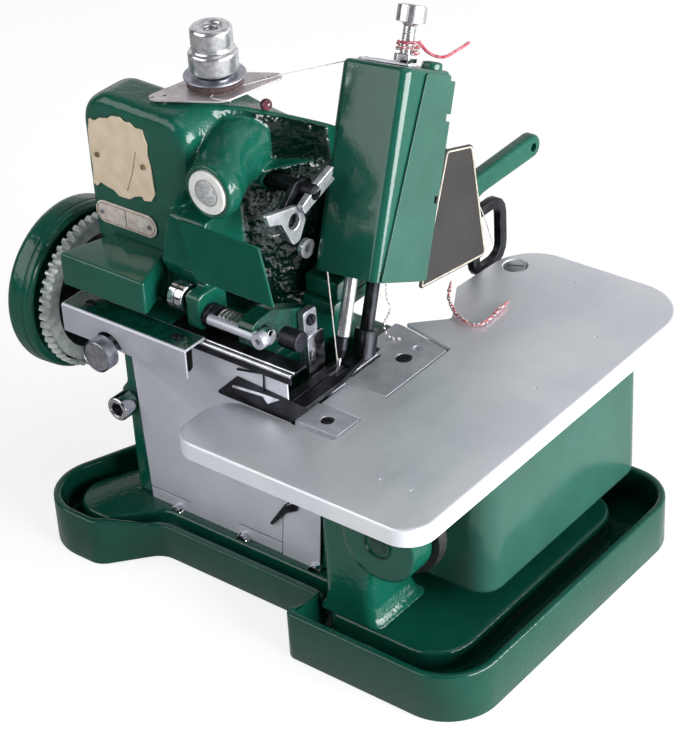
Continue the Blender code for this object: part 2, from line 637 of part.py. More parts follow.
# ---------------------------------------------------------------- handwheel
def make_wheel(machine):
    axis = empty("wheel_axis", (0, SHAFT_Y, SHAFT_Z), machine)
    left, right = WHEEL_LEFT, WHEEL_LEFT + WHEEL_WIDTH
    web = left + 0.006
    profile = [
        (SHAFT_R + GAP, left + 0.001), (0.0130, left + 0.001), (0.0150, web), (WHEEL_R - 0.0075, web),
        (WHEEL_R - 0.0060, left + 0.001), (WHEEL_R - 0.0035, left), (WHEEL_R - 0.0010, left + 0.0015),
        (WHEEL_R, left + 0.004), (WHEEL_R - 0.0008, right - 0.0016), (WHEEL_R - 0.0024, right),
        (WHEEL_R - 0.0050, right), (WHEEL_R - 0.0062, web + 0.0045), (0.0150, web + 0.0045),
        (0.0150, RING_LEFT - GAP), (SHAFT_R + GAP, RING_LEFT - GAP),
    ]
    piece("handwheel", laid(turned(profile, 32, hollow=True), "X"), "enamel", axis)

    # toothed ring: a disc with a saw-tooth rim, dished on its inner side
    outline = []
    for i in range(RING_TEETH * 2):
        radius = RING_R - (TOOTH_DEPTH if i % 2 else 0.0)
        angle = math.tau * i / (RING_TEETH * 2)
        outline.append((radius * math.cos(angle), radius * math.sin(angle)))
    ring = piece("toothed_ring", laid(prism(outline, 0.0, RING_WIDTH), "X"), "steel", axis, (RING_LEFT, 0, 0))
    dish = laid(rod(RING_R - 0.0085, RING_WIDTH / 2, RING_WIDTH + 0.01, 28), "X")
    cut(ring, form("ring_dish", dish, axis, (RING_LEFT, 0, 0)))
    cut(ring, form("ring_bore", laid(rod(SHAFT_R + GAP, -0.01, 0.02, 20), "X"), axis, (RING_LEFT, 0, 0)))
    shaft = laid(rod(SHAFT_R, WHEEL_LEFT + 0.0005, HOUSING_RIGHT - 0.006, 24, 0.0008), "X")
    piece("main_shaft", shaft, "steel", axis)
    bush = laid(sleeve(BUSH_R - GAP, SHAFT_R + RUN, 0.0, 0.028, 20), "X")
    piece("shaft_bush", bush, "brass", machine, (HUB_LEFT, SHAFT_Y, SHAFT_Z))


# ---------------------------------------------------------------- plates
def plate_corners():
    """Corners of the cloth plate about its pivot, and how far each edge's rim stands in.

    The cut-out's edges keep clear of the needle plate and the slide plate while it swings.
    """
    rim, bare = PLATE_SHEET, -0.001
    table = [
        (PLATE_LEFT, PLATE_FRONT, 0.0150, rim), (PLATE_RIGHT, PLATE_FRONT, 0.0150, rim),
        (PLATE_RIGHT, PLATE_BACK, 0.0300, rim), (0.0200, PLATE_BACK, 0.0260, rim),
        (0.0160, 0.0730, 0.0040, bare), (0.0330, 0.0450, 0.0030, bare), (0.0160, 0.0285, 0.0010, bare),
        (0.0494, 0.0215, 0.0010, bare), (0.0494, -0.0310, 0.0005, bare), (0.0260, -0.0322, 0.0005, bare),
        (0.0260, -0.0520, 0.0005, bare), (0.0505, -0.0520, 0.0010, bare), (0.0505, -0.0735, 0.0010, bare),
        (PLATE_LEFT, -0.0735, 0.0150, rim),
    ]
    corners = [(x - PIVOT_X, y - PIVOT_Y, r) for x, y, r, _ in table]
    return corners, [inset for *_, inset in table]


def make_cloth_plate(machine):
    """Pressed sheet with a rim turned down round its outer edge."""
    swing = empty("plate_pivot", (PIVOT_X, PIVOT_Y, PLATE_TOP), machine)
    corners, rims = plate_corners()
    shares = [1.0 if rim > 0 else 0.2 for rim in rims]
    plate = piece("cloth_plate", pressed(corners, -PLATE_RIM, 0.0, PLATE_EDGE, 0.0, shares), "brushed", swing)
    inner = prism(rounded(offset_corners(corners, rims), 5), -PLATE_RIM - 0.01, -PLATE_SHEET)
    cut(plate, form("plate_hollow", inner, swing))
    cut(plate, form("pivot_hole", rod(0.0062, -0.02, 0.02, 20), swing))
    screw = turned([(0, -0.0100), (0.0040, -0.0100), (0.0040, -PLATE_SHEET), (0.0058, -PLATE_SHEET),
                    (0.0058, -0.0003), (0.0052, 0.0), (0, 0.0)], 20)
    piece("pivot_screw", screw, "steel", machine, (PIVOT_X, PIVOT_Y, PLATE_TOP))

    # bracket on the body that carries the pivot under the plate
    top = PLATE_TOP - PLATE_RIM - 0.0005
    arm = [(0.0360, BODY_BACK + GAP, 0.002), (BODY_RIGHT, BODY_BACK + GAP, 0.002), (0.0540, 0.0700, 0.012),
           (0.0400, PIVOT_Y + 0.0090, 0.009), (PIVOT_X - 0.0090, PIVOT_Y + 0.0090, 0.0085),
           (PIVOT_X - 0.0090, PIVOT_Y - 0.0090, 0.0085), (0.0360, 0.0760, 0.006)]
    bracket = piece("plate_bracket", prism(rounded(arm, 4), top - 0.009, top), "enamel", machine)
    flange = [(0.0340, BODY_BACK + GAP, 0.001), (BODY_RIGHT, BODY_BACK + GAP, 0.001),
              (BODY_RIGHT, BODY_BACK + 0.006, 0.001), (0.0340, BODY_BACK + 0.006, 0.001)]
    add(bracket, form("bracket_flange", prism(rounded(flange, 2), top - 0.030, top - 0.001), machine))
    post = rod(0.0085, top - 0.001, PLATE_TOP - PLATE_SHEET - GAP, 20)
    add(bracket, form("pivot_post", post, machine, (PIVOT_X, PIVOT_Y, 0)))
    cut(bracket, form("pivot_thread", rod(0.0040 + GAP, -0.0105, 0.02, 16), swing))


def make_needle_plates(machine):
    """Needle plate with its feed slots, and the small plate in front of it."""
    needle = [(NEEDLE_PLATE_LEFT, -0.0420, 0.001), (0.0250, -0.0420, 0.001), (0.0250, -0.0317, 0.001),
              (0.0486, -0.0304, 0.001), (0.0486, 0.0196, 0.001), (0.0165, 0.0262, 0.001),
              (NEEDLE_PLATE_LEFT, 0.0262, 0.001)]
    bottom = PLATE_TOP - NEEDLE_PLATE_SHEET
    plate = piece("needle_plate", prism(rounded(needle, 2), bottom, PLATE_TOP), "steel", machine)
    for x0, x1, y0, y1 in ((0.0145, 0.0205, -0.0350, 0.0025), (0.0222, 0.0244, -0.0260, -0.0020)):
        slot = prism(rounded(box_corners(x0, x1, y0, y1, 0.001), 2), bottom - 0.01, PLATE_TOP + 0.01)
        cut(plate, form("feed_slot", slot, machine))
    slide = rounded(box_corners(0.0242, 0.0498, COVER_FACE + COVER_SHEET + 0.0005, -0.0525, 0.0008), 2)
    piece("slide_plate", prism(slide, bottom, PLATE_TOP), "steel", machine)


def make_side_cover(machine):
    """Deep box cover, open towards the machine."""
    corners = [(SIDE_LEFT, SIDE_FRONT, 0.002), (SIDE_RIGHT, SIDE_FRONT, 0.013),
               (SIDE_RIGHT, SIDE_BACK, 0.012), (SIDE_LEFT, SIDE_BACK, 0.002)]
    box = pressed(corners, SIDE_BOTTOM, SIDE_TOP, 0.0012, 0.0030, [1, 1, 1, 0])
    cover = piece("side_cover", box, "enamel", machine)
    inner = offset_corners(corners, [SIDE_WALL, SIDE_WALL, SIDE_WALL, -0.01])
    cut(cover, form("side_hollow", prism(rounded(inner, 5), SIDE_BOTTOM + SIDE_WALL, SIDE_TOP - SIDE_WALL), machine))
    hole = laid(rod(FEED_SHAFT_R + 0.001, -0.02, 0.02, 20), "Y")
    cut(cover, form("side_shaft_hole", hole, machine, (LEG_BOSS_X, SIDE_FRONT, LEG_BOSS_Z)))


# ---------------------------------------------------------------- sheets on the front
def make_front_covers(machine):
    back = COVER_FACE + COVER_SHEET
    outline = [(COVER_LEFT + 0.004, COVER_FOOT, 0.001), (COVER_RIGHT, COVER_FOOT, 0.001),
               (COVER_RIGHT, 0.0500, 0.001), (0.0225, 0.0590, 0.001), (0.0225, 0.1170, 0.001),
               (-0.0300, 0.1165, 0.002), (-0.0290, 0.1030, 0.003), (-0.0380, 0.0985, 0.001),
               (-0.0400, COVER_BEND + 0.0040, 0.0005), (-0.0500, COVER_BEND, 0.0005), (COVER_LEFT, COVER_BEND, 0.002)]
    sheet = front_prism(rounded(outline, 3), COVER_FACE, back)
    cover = piece("front_cover", sheet, "brushed", machine)
    # the upper edge bends out towards the rail
    run, rise = -0.0120, 0.0150
    z0 = COVER_BEND - 0.0010
    flange = loft([[(x, COVER_FACE, z0), (x, back, z0), (x, back + run, z0 + rise + 0.0004),
                    (x, COVER_FACE + run, z0 + rise)] for x in (COVER_LEFT + 0.0175, -0.0480)])
    add(cover, form("cover_flange", flange, machine))
    for x in (-0.0635, -0.0020):
        slot = front_prism(rounded(box_corners(x - 0.0145, x + 0.0145, 0.0292, 0.0300, 0.0), 1),
                           COVER_FACE - 0.01, COVER_FACE + 0.01)
        cut(cover, form("cover_fold", slot, machine))
    lower = rounded(box_corners(COVER_RIGHT + 2 * GAP, 0.0345, COVER_FOOT, 0.0490, 0.0008), 2)
    piece("lower_cover", front_prism(lower, COVER_FACE, back), "brushed", machine)

    edge = 0.0008
    rail = [(RAIL_FRONT, RAIL_TOP - 0.0155), (RAIL_FRONT + RAIL_SHEET, RAIL_TOP - 0.0155),
            (RAIL_FRONT + RAIL_SHEET, RAIL_TOP - RAIL_SHEET), (-0.0740, RAIL_TOP - RAIL_SHEET),
            (-0.0740, RAIL_TOP), (RAIL_FRONT + edge, RAIL_TOP), (RAIL_FRONT, RAIL_TOP - edge)]
    piece("front_rail", side_prism(rail, -0.1060, -0.0250), "brushed", machine)
    bed = [(BED_FRONT, BED_TOP - 0.0095), (BED_FRONT + BED_SHEET, BED_TOP - 0.0095),
           (BED_FRONT + BED_SHEET, BED_TOP - BED_SHEET), (-0.0500, BED_TOP - BED_SHEET),
           (-0.0500, BED_TOP), (BED_FRONT + edge, BED_TOP), (BED_FRONT, BED_TOP - edge)]
    sheet = piece("knife_bed", side_prism(bed, BED_LEFT, BED_RIGHT), "steel", machine)
    corner = prism(box_points(0.0020, BED_RIGHT + 0.01, -0.0640, -0.0400), BED_TOP - 0.02, BED_TOP + 0.01)
    cut(sheet, form("bed_corner", corner, machine))

    # knob and socket screw at the rail's left end
    knob_at = (-0.0760, RAIL_FRONT, 0.1190)
    shank = laid(turned([(0, 0.0), (0.0076, 0.0), (0.0082, 0.0006), (0.0082, 0.0060), (0.0076, 0.0066),
                         (0.0030, 0.0066), (0.0030, -RAIL_FRONT + RAIL_SEAT_FRONT + 0.0084),
                         (0, -RAIL_FRONT + RAIL_SEAT_FRONT + 0.0084)], 20), "Y")
    piece("cover_knob", shank, "brushed", empty("knob_axis", (knob_at[0], knob_at[1] - 0.0090, knob_at[2]), machine))
    hole = laid(rod(0.0030 + RUN, -0.02, 0.02, 16), "Y")
    cut(bpy.data.objects["machine_frame"],
        form("knob_hole", hole, machine, (knob_at[0], RAIL_SEAT_FRONT, knob_at[2])))
    cut(bpy.data.objects["front_rail"], form("knob_slot", laid(rod(0.0090, -0.006, 0.006, 24), "Y"), machine, knob_at))
    stud = laid(turned([(0, 0.0042), (0.0028, 0.0042), (0.0028, 0.0), (0.0058, 0.0), (0.0065, 0.0006),
                        (0.0065, 0.0095), (SOCKET_R, 0.0095), (SOCKET_R, 0.0230), (0, 0.0230)], 20), "Y")
    piece("socket_screw", stud, "chrome", machine, SOCKET_AT)


def make_hood(machine):
    """Tapered sheet hood over the shaft, open below, its back edge against the block."""
    back = BLOCK_FRONT - GAP
    outline = [(-0.1085, -0.0840, 0.0015), (-0.0525, -0.0840, 0.0015), (-0.0640, back, 0.001), (-0.0990, back, 0.001)]
    hood = piece("shaft_hood", prism(rounded(outline, 2), 0.1435, 0.1605), "enamel", machine)
    inner = prism(rounded(offset_corners(outline, [0.002, 0.002, -0.01, 0.002]), 1), 0.12, 0.1585)
    cut(hood, form("hood_hollow", inner, machine))
    return hood


def make_badges(machine):
    """Plain plates: a brass one and a round-ended one on the block, a large one behind the head."""
    front = BLOCK_FRONT - GAP
    brass = [(-0.1060, 0.1870, 0.002), (-0.0715, 0.1870, 0.002), (-0.0715, 0.2210, 0.002), (-0.1060, 0.2210, 0.002)]
    badge = piece("brass_plate", front_prism(rounded(brass, 3), front - 0.0008, front), "brass", machine)
    for x0, x1 in ((-0.0860, -0.0815), (-0.1060 - 0.001, -0.1030)):
        notch = rounded(box_corners(x0, x1, 0.1840, 0.1885, 0.001), 2)
        cut(badge, form("badge_notch", front_prism(notch, front - 0.01, front + 0.01), machine))
    oval = rounded(box_corners(-0.1080, -0.0680, 0.1660, 0.1780, 0.0059), 6)
    piece("oval_plate", front_prism(oval, front - 0.0008, front), "alloy", machine)
    tag = [(0.0330, 0.1240, 0.002), (0.0890, 0.1120, 0.003), (0.0670, 0.1930, 0.004), (0.0540, 0.1930, 0.002)]
    piece("tag_plate", side_prism(rounded(tag, 3), LUG_RIGHT + GAP, LUG_RIGHT + GAP + 0.0012), "black", machine)


def make_oil_cover(machine):
    """Slanted plate in front of the lever, and the round oil window."""
    top_y, top_z, low_y, low_z = -0.0580, 0.1862, -0.0665, 0.1620
    lean = math.atan2(top_y - low_y, top_z - low_z)
    outline = [(0.0, 0.0), (0.0480, 0.0), (0.0340, 0.0255), (-0.0160, 0.0255)]
    plate = prism(outline, 0.0, 0.0018)
    turn = Matrix.Rotation(math.pi / 2 - lean, 4, "X")
    bmesh.ops.transform(plate, matrix=turn, verts=plate.verts)
    cover = piece("oil_cover", plate, "enamel", machine, (-0.0330, low_y - 0.0004, low_z - 0.0010))
    soften(cover, 0.0005, 1, 60)
    ring = laid(sleeve(WINDOW_R, 0.0068, 0.0, WINDOW_DEPTH, 24), "Y")
    piece("window_ring", ring, "white", machine, (BOSS_X, BOSS_FRONT - 0.0008, BOSS_Z))
    dome = laid(turned([(0, -0.0012), (0.0035, -0.0008), (0.0065, 0.0006), (0.0065, 0.0040), (0, 0.0040)], 20), "Y")
    piece("window_glass", dome, "glass", machine, (BOSS_X, BOSS_FRONT - 0.0008, BOSS_Z))


# ---------------------------------------------------------------- tension stack
def make_tension(machine):
    base = ARM_TOP + GAP
    at = (TENSION_X, TENSION_Y, 0)
    half_long, half_wide = 0.0380, 0.0180
    tips = [(-half_long, 0.0, 0.004), (0.0, -half_wide, 0.012), (half_long, 0.0, 0.004), (0.0, half_wide, 0.012)]
    plate = prism(rounded(tips, 4), base, base + 0.0010)
    turned_by = (0, 0, TENSION_TURN)
    flat = piece("tension_plate", plate, "steel", machine, at, turned_by)
    for x in (-0.0310, 0.0310):
        cut(flat, form("tip_hole", prism(rounded(box_corners(x - 0.0022, x + 0.0022, -0.0009, 0.0009, 0.0008), 2),
                                         base - 0.01, base + 0.01), machine, at, turned_by))
    cut(flat, form("stud_hole", rod(TENSION_STUD_R + GAP, base - 0.01, base + 0.01, 16), machine, at))
    stud = rod(TENSION_STUD_R, base - 0.008, base + 0.0300, 16, 0.0004)
    piece("tension_stud", stud, "steel", machine, at)
    cut(bpy.data.objects["machine_frame"], form("stud_seat", rod(TENSION_STUD_R + GAP, base - 0.0085, base + 0.01, 16),
                                                machine, at))
    layer = base + 0.0010 + GAP
    felt = turned([(TENSION_STUD_R + GAP, layer), (0.0125, layer), (0.0138, layer + 0.0012), (0.0138, layer + 0.0022),
                   (0.0122, layer + 0.0030), (0.0138, layer + 0.0038), (0.0125, layer + 0.0052),
                   (TENSION_STUD_R + GAP, layer + 0.0052)], 20, hollow=True)
    piece("tension_felt", felt, "felt", machine, at)
    disc_z = layer + 0.0052 + GAP
    piece("tension_disc", sleeve(0.0152, TENSION_STUD_R + GAP, disc_z, disc_z + 0.0012, 24), "alloy", machine, at)
    nut_z = disc_z + 0.0012 + GAP
    hole = TENSION_STUD_R + GAP
    nut = turned([(hole, nut_z), (0.0085, nut_z), (0.0088, nut_z + 0.0012), (0.0118, nut_z + 0.0012),
                  (0.0120, nut_z + 0.0030), (0.0120, nut_z + 0.0110), (0.0112, nut_z + 0.0122),
                  (0.0100, nut_z + 0.0122), (0.0100, nut_z + 0.0230), (0.0092, nut_z + 0.0240),
                  (0.0045, nut_z + 0.0240), (hole, nut_z + 0.0225)], 20, hollow=True)
    piece("tension_nut", nut, "chrome", empty("tension_axis", (TENSION_X, TENSION_Y, 0), machine))


# ---------------------------------------------------------------- head
def make_head(machine):
    head = head_empty("head", machine)
    wall = CASING_WALL
    w, d, h = HEAD_W, HEAD_D, HEAD_H
    outline = [(-w, 0.0, 0.0055), (0.0, 0.0, 0.0055), (0.0, d, 0.0), (-w, d, 0.0)]
    casing = piece("head_casing", pressed(outline, 0.0, h, 0.0024, 0.0, [1, 1, 0, 1]), "enamel", head)
    inner = prism(rounded(offset_corners(outline, [wall, wall, -0.01, wall]), 5), -0.01, h - wall)
    cut(casing, form("casing_hollow", inner, head))
    cut(casing, form("casing_bore", rod(0.0052, h - 0.01, h + 0.01, 20), head, (BAR_X, PRESSER_BAR_Y, 0)))
    for z in (0.0395, 0.0800):
        notch = prism(box_points(-0.004, 0.01, d - 0.0024, d + 0.01), z, z + 0.0035)
        cut(casing, form("casing_notch", notch, head))
    slit = prism(rounded(box_corners(-0.0310, -0.0270, 0.0090, 0.0210, 0.0015), 2), h - 0.01, h + 0.01)
    cut(casing, form("casing_slit", slit, head))

    # frame of the head: back plate with a lower and an upper bearing block
    fit = wall + GAP
    back = d - 0.0060
    core = piece("head_frame", prism(box_points(-w + fit, -fit, back, d), 0.0040, h - 0.0080), "enamel", head)
    for z0, z1 in ((0.0060, 0.0300), (0.0760, 0.0940)):
        block = prism(rounded(box_corners(-w + fit + 0.003, -fit - 0.003, fit, back + 0.002, 0.003), 3), z0, z1)
        add(core, form("bearing_block", block, head))
    for y, r in ((NEEDLE_BAR_Y, NEEDLE_BAR_R), (PRESSER_BAR_Y, PRESSER_BAR_R)):
        cut(core, form("bar_bore", rod(r + RUN, -0.02, h + 0.02, 20), head, (BAR_X, y, 0)))

    bar_end = -0.0300
    bar = empty("needle_bar_axis", (BAR_X, NEEDLE_BAR_Y, 0), head)
    piece("needle_bar", rod(NEEDLE_BAR_R, bar_end, h - 0.0260, 16, 0.0005), "chrome", bar)
    clamp = turned([(0, bar_end - GAP), (0.0028, bar_end - GAP), (0.0028, bar_end - 0.0065), (0.0016, bar_end - 0.0105),
                    (0, bar_end - 0.0105)][::-1], 16)
    piece("needle_clamp", clamp, "dark", bar)
    top = bar_end - 0.0105 - GAP
    needle = turned([(0, -NEEDLE_REACH), (0.0004, -NEEDLE_REACH + 0.0020), (0.0004, top - 0.0050), (0.0008, top - 0.0040),
                     (0.0008, top), (0, top)], 10)
    piece("needle", needle, "chrome", bar)

    press = empty("presser_bar_axis", (BAR_X, PRESSER_BAR_Y, 0), head)
    piece("presser_bar", rod(PRESSER_BAR_R, PRESSER_FOOT_Z, h - 0.0345, 16, 0.0005), "chrome", press)
    path = []
    turns, per = 6, 8
    wire = 0.0007
    coil = PRESSER_BAR_R + wire + 0.0009    # to the middle of the wire
    low, high = 0.0330, 0.0730
    for k in range(turns * per + 1):
        a = math.tau * k / per
        path.append((coil * math.cos(a), coil * math.sin(a), low + (high - low) * k / (turns * per)))
    piece("presser_spring", sweep(path, wire, 5), "steel", head, (BAR_X, PRESSER_BAR_Y, 0))
    screw = turned([(0, h - 0.0270), (0.0026, h - 0.0270), (0.0030, h - 0.0265), (0.0030, h + 0.0200),
                    (0.0060, h + 0.0205), (0.0070, h + 0.0215), (0.0070, h + 0.0275), (0.0060, h + 0.0290),
                    (0, h + 0.0290)], 20)
    piece("pressure_screw", screw, "chrome", empty("pressure_axis", (BAR_X, PRESSER_BAR_Y, 0), head))
    guide = prism(rounded([(-0.0330, 0.0060, 0.002), (-0.0080, 0.0100, 0.002), (-0.0080, 0.0160, 0.002),
                           (-0.0260, 0.0230, 0.002), (-0.0330, 0.0230, 0.002)], 3), h + GAP, h + GAP + 0.0010)
    plate = piece("thread_guide", guide, "steel", head)
    slot = prism(rounded(box_corners(-0.0305, -0.0275, 0.0095, 0.0205, 0.0012), 2), h - 0.01, h + 0.01)
    cut(plate, form("guide_slot", slot, head))


def make_presser_foot(machine):
    """Sole with its turned-up toe and the socket on the bar's end."""
    sole_z = PLATE_TOP + 0.0004
    sole = [(0.0170, -0.0640, 0.001), (0.0255, -0.0625, 0.001), (0.0252, -0.0330, 0.002), (0.0193, -0.0017, 0.002),
            (0.0130, -0.0020, 0.002), (FOOT_LEFT, -0.0250, 0.002), (FOOT_LEFT, -0.0560, 0.002)]
    foot = piece("presser_foot", prism(rounded(sole, 3), sole_z, sole_z + 0.0026), "steel", machine)
    # wide enough for the needle clamp, which comes down into it while the foot is lifted
    hole = prism(rounded(box_corners(0.0138, 0.0206, -0.0335, -0.0215, 0.001), 2), sole_z - 0.01, sole_z + 0.01)
    cut(foot, form("foot_hole", hole, machine))
    slit = prism(box_points(0.0166, 0.0176, -0.07, -0.030), sole_z - 0.01, sole_z + 0.01)
    cut(foot, form("foot_slit", slit, machine))
    head = head_empty("foot_space", machine)
    socket_low = PRESSER_FOOT_Z - 0.0105
    socket = rod(0.0060, socket_low, PRESSER_FOOT_Z + 0.0090, 20, 0.0006)
    add(foot, form("foot_socket", socket, head, (BAR_X, PRESSER_BAR_Y, 0)))
    cut(foot, form("foot_bore", rod(PRESSER_BAR_R + GAP, PRESSER_FOOT_Z - GAP, 0.01, 20), head,
                   (BAR_X, PRESSER_BAR_Y, 0)))
    under = prism(box_points(-0.05, 0.08, -0.08, 0.05), sole_z - 0.03, sole_z)
    cut(foot, form("foot_under", under, machine))
    return foot


# ---------------------------------------------------------------- knives, needle lever and feed
def make_knives(machine):
    piece("knife_rod", laid(rod(ROD_R, ROD_LEFT, ROD_RIGHT, 16, 0.0005), "X"), "chrome", machine, (0, ROD_Y, ROD_Z))
    rock = empty("knife_axis", (0, ROD_Y, ROD_Z), machine)
    arm_x0, arm_x1 = SPRING_RIGHT + GAP, 0.0022
    tip_y, tip_z = KNIFE_Y - ROD_Y, 0.1300 - ROD_Z
    arm = [(-0.0075, -0.0055, 0.003), (0.0138, -0.0055, 0.002), (tip_y + 0.006, tip_z - 0.006, 0.003),
           (tip_y + 0.006, tip_z + 0.007, 0.003), (0.0070, 0.0100, 0.004), (-0.0075, 0.0080, 0.005)]
    lever = piece("knife_arm", side_prism(rounded(arm, 3), arm_x0, arm_x1), "enamel", rock)
    cut(lever, form("arm_bore", laid(rod(ROD_R + RUN, -0.05, 0.05, 20), "X"), rock))
    holder = [(tip_y - 0.0050, 0.1080 - ROD_Z, 0.001), (tip_y + 0.0050, 0.1080 - ROD_Z, 0.001),
              (tip_y + 0.0050, 0.1400 - ROD_Z, 0.002), (tip_y - 0.0050, 0.1400 - ROD_Z, 0.002)]
    piece("knife_holder", side_prism(rounded(holder, 3), arm_x1 + GAP, KNIFE_X - 0.0024 - GAP), "steel", rock)
    blade = [(tip_y - 0.0060, 0.1030 - ROD_Z, 0.0), (tip_y + 0.0060, 0.1022 - ROD_Z, 0.0),
             (tip_y + 0.0060, 0.1280 - ROD_Z, 0.001), (tip_y - 0.0060, 0.1280 - ROD_Z, 0.001)]
    piece("upper_knife", side_prism(rounded(blade, 2), KNIFE_X - 0.0024, KNIFE_X), "chrome", rock)
    low = [(KNIFE_Y - 0.0065, 0.0700, 0.001), (KNIFE_Y + 0.0065, 0.0700, 0.001), (KNIFE_Y + 0.0065, PLATE_TOP, 0.0),
           (KNIFE_Y - 0.0065, PLATE_TOP, 0.0)]
    piece("lower_knife", side_prism(rounded(low, 2), KNIFE_X + GAP, NEEDLE_PLATE_LEFT - GAP), "chrome", machine)

    spring = []
    turns, per = 6, 8
    wire = 0.0006
    coil = ROD_R + wire + RUN + 0.0001      # to the middle of the wire
    for k in range(turns * per + 1):
        a = math.tau * k / per
        spring.append((SPRING_LEFT + GAP + 0.0008 + (SPRING_RIGHT - SPRING_LEFT - 0.0022) * k / (turns * per),
                       coil * math.cos(a), coil * math.sin(a)))
    piece("knife_spring", sweep(spring, wire, 5), "steel", machine, (0, ROD_Y, ROD_Z))
    collar = laid(sleeve(0.0064, ROD_R + GAP, COLLAR_LEFT, SPRING_LEFT, 20), "X")
    piece("spring_collar", collar, "dark", machine, (0, ROD_Y, ROD_Z))
    face = ROD_LEFT - 0.0005
    thumb = laid(turned([(0, face - 0.0080), (0.0062, face - 0.0080), (0.0068, face - 0.0072),
                         (0.0068, face - 0.0052), (0.0048, face - 0.0044), (0.0048, face - 0.0036),
                         (0.0068, face - 0.0028), (0.0068, face - 0.0008), (0.0060, face), (THUMB_R, face),
                         (THUMB_R, THUMB_END), (0, THUMB_END)], 16), "X")
    piece("thumb_nut", thumb, "chrome", empty("thumb_axis", (0, THUMB_Y, THUMB_Z), machine))


def make_lever(machine):
    """Needle drive: rocker shaft, the crank with its eye, and the link towards the head."""
    rock = empty("rocker_axis", (0, ROCKER_Y, ROCKER_Z), machine)
    shaft = laid(rod(ROCKER_R, ROCKER_START, ROCKER_END, 16, 0.0004), "X")
    piece("rocker_shaft", shaft, "steel", rock)
    crank = [(0.0070, 0.0050, 0.006), (-0.0050, 0.0060, 0.004), (-0.0290, -0.0030, 0.002), (-0.0190, -0.0110, 0.004),
             (-0.0155, -0.0205, 0.003), (-0.0045, -0.0155, 0.004), (0.0060, -0.0060, 0.006)]
    lever = piece("needle_crank", side_prism(rounded(crank, 4), CRANK_X, CRANK_X + 0.0030), "chrome", rock)
    cut(lever, form("crank_bore", laid(rod(ROCKER_R + GAP, -0.05, 0.05, 16), "X"), rock))
    cut(lever, form("crank_eye", laid(rod(0.0040, -0.05, 0.05, 16), "X"), rock, (0, -0.0125, -0.0108)))
    link = [(-0.0130, -0.0015, 0.001), (-0.0090, -0.0070, 0.001), (0.0095, -0.0030, 0.001), (0.0060, 0.0010, 0.001),
            (0.0085, 0.0055, 0.001), (-0.0060, 0.0055, 0.002)]
    bar = piece("needle_link", side_prism(rounded(link, 3), CRANK_X + 0.0030 + GAP, ROCKER_END), "chrome", rock)
    cut(bar, form("link_bore", laid(rod(ROCKER_R + GAP, -0.05, 0.05, 16), "X"), rock))


def make_feed_dog(machine):
    """Feed dog on its bar, under the needle plate."""
    floor = PLATE_TOP - NEEDLE_PLATE_SHEET
    dog = side_prism(rounded(box_corners(-0.0245, -0.0015, floor - 0.0080, floor + 0.0015, 0.001), 2), 0.0155, 0.0195)
    feed = piece("feed_dog", dog, "steel", machine)
    for k in range(9):
        y = -0.0240 + k * 0.0024
        tooth = side_prism([(y, floor + 0.001), (y + 0.0020, floor + 0.001), (y + 0.0016, PLATE_TOP - 0.0003)],
                           0.0157, 0.0193)
        add(feed, form("feed_tooth", tooth, machine))
    bar = side_prism(rounded(box_corners(-0.0600, -0.0120, floor - 0.0150, floor - 0.0078, 0.001), 2), 0.0150, 0.0200)
    add(feed, form("feed_bar", bar, machine))


# ---------------------------------------------------------------- lifter
def make_lifter(machine):
    """Presser foot lifter: a hand lever on a pin in the rear lug, and the bracket behind it."""
    axis = empty("lifter_axis", (0, LIFTER_Y, LIFTER_Z), machine)
    pin = laid(rod(LIFTER_PIN_R, -0.0055, LUG_RIGHT - 0.0005, 16, 0.0004), "X")
    piece("lifter_pin", pin, "steel", machine, (0, LIFTER_Y, LIFTER_Z))
    end, half = LIFTER_REACH + LIFTER_TIP, 0.0065
    lever = [(-0.0088, -0.0088, 0.0085), (0.0090, -0.0088, 0.0060), (0.0240, 0.0022, 0.0200),
             (end, LIFTER_RISE - half, 0.0062), (end, LIFTER_RISE + half, 0.0062),
             (0.0220, 0.0140, 0.0200), (-0.0088, 0.0088, 0.0085)]
    bar = facing_side(pressed(lever, LIFTER_LEFT, LIFTER_RIGHT, 0.0018, 0.0018, segments=3))
    hand = piece("lifter_lever", bar, "enamel", axis)
    cut(hand, form("lever_eye", laid(rod(0.0024, -0.01, 0.03, 16), "X"), axis, (0, LIFTER_REACH, LIFTER_RISE)))
    cut(hand, form("lever_bore", laid(rod(LIFTER_PIN_R + GAP, -0.02, 0.04, 16), "X"), axis))
    loop = [(0.0900, 0.0965, 0.010), (0.1205, 0.0965, 0.012), (0.1205, 0.1375, 0.012), (0.0900, 0.1375, 0.008)]
    ring = piece("rear_bracket", facing_side(pressed(loop, 0.0105, 0.0150, 0.0006, 0.0006)), "dark", machine)
    inner = rounded(offset_corners(loop, 0.0060), 4)
    cut(ring, form("bracket_window", side_prism(inner, 0.0, 0.03), machine))
    foot = side_prism(rounded(box_corners(0.0700, 0.0930, 0.1205, 0.1260, 0.001), 2), 0.0115, 0.0145)
    add(ring, form("bracket_foot", foot, machine))
    seat = side_prism(box_points(0.0700 - GAP, 0.1, 0.1205 - GAP, 0.1260 + GAP), 0.0115 - GAP, 0.0145 + GAP)
    cut(bpy.data.objects["machine_frame"], form("bracket_seat", seat, machine))


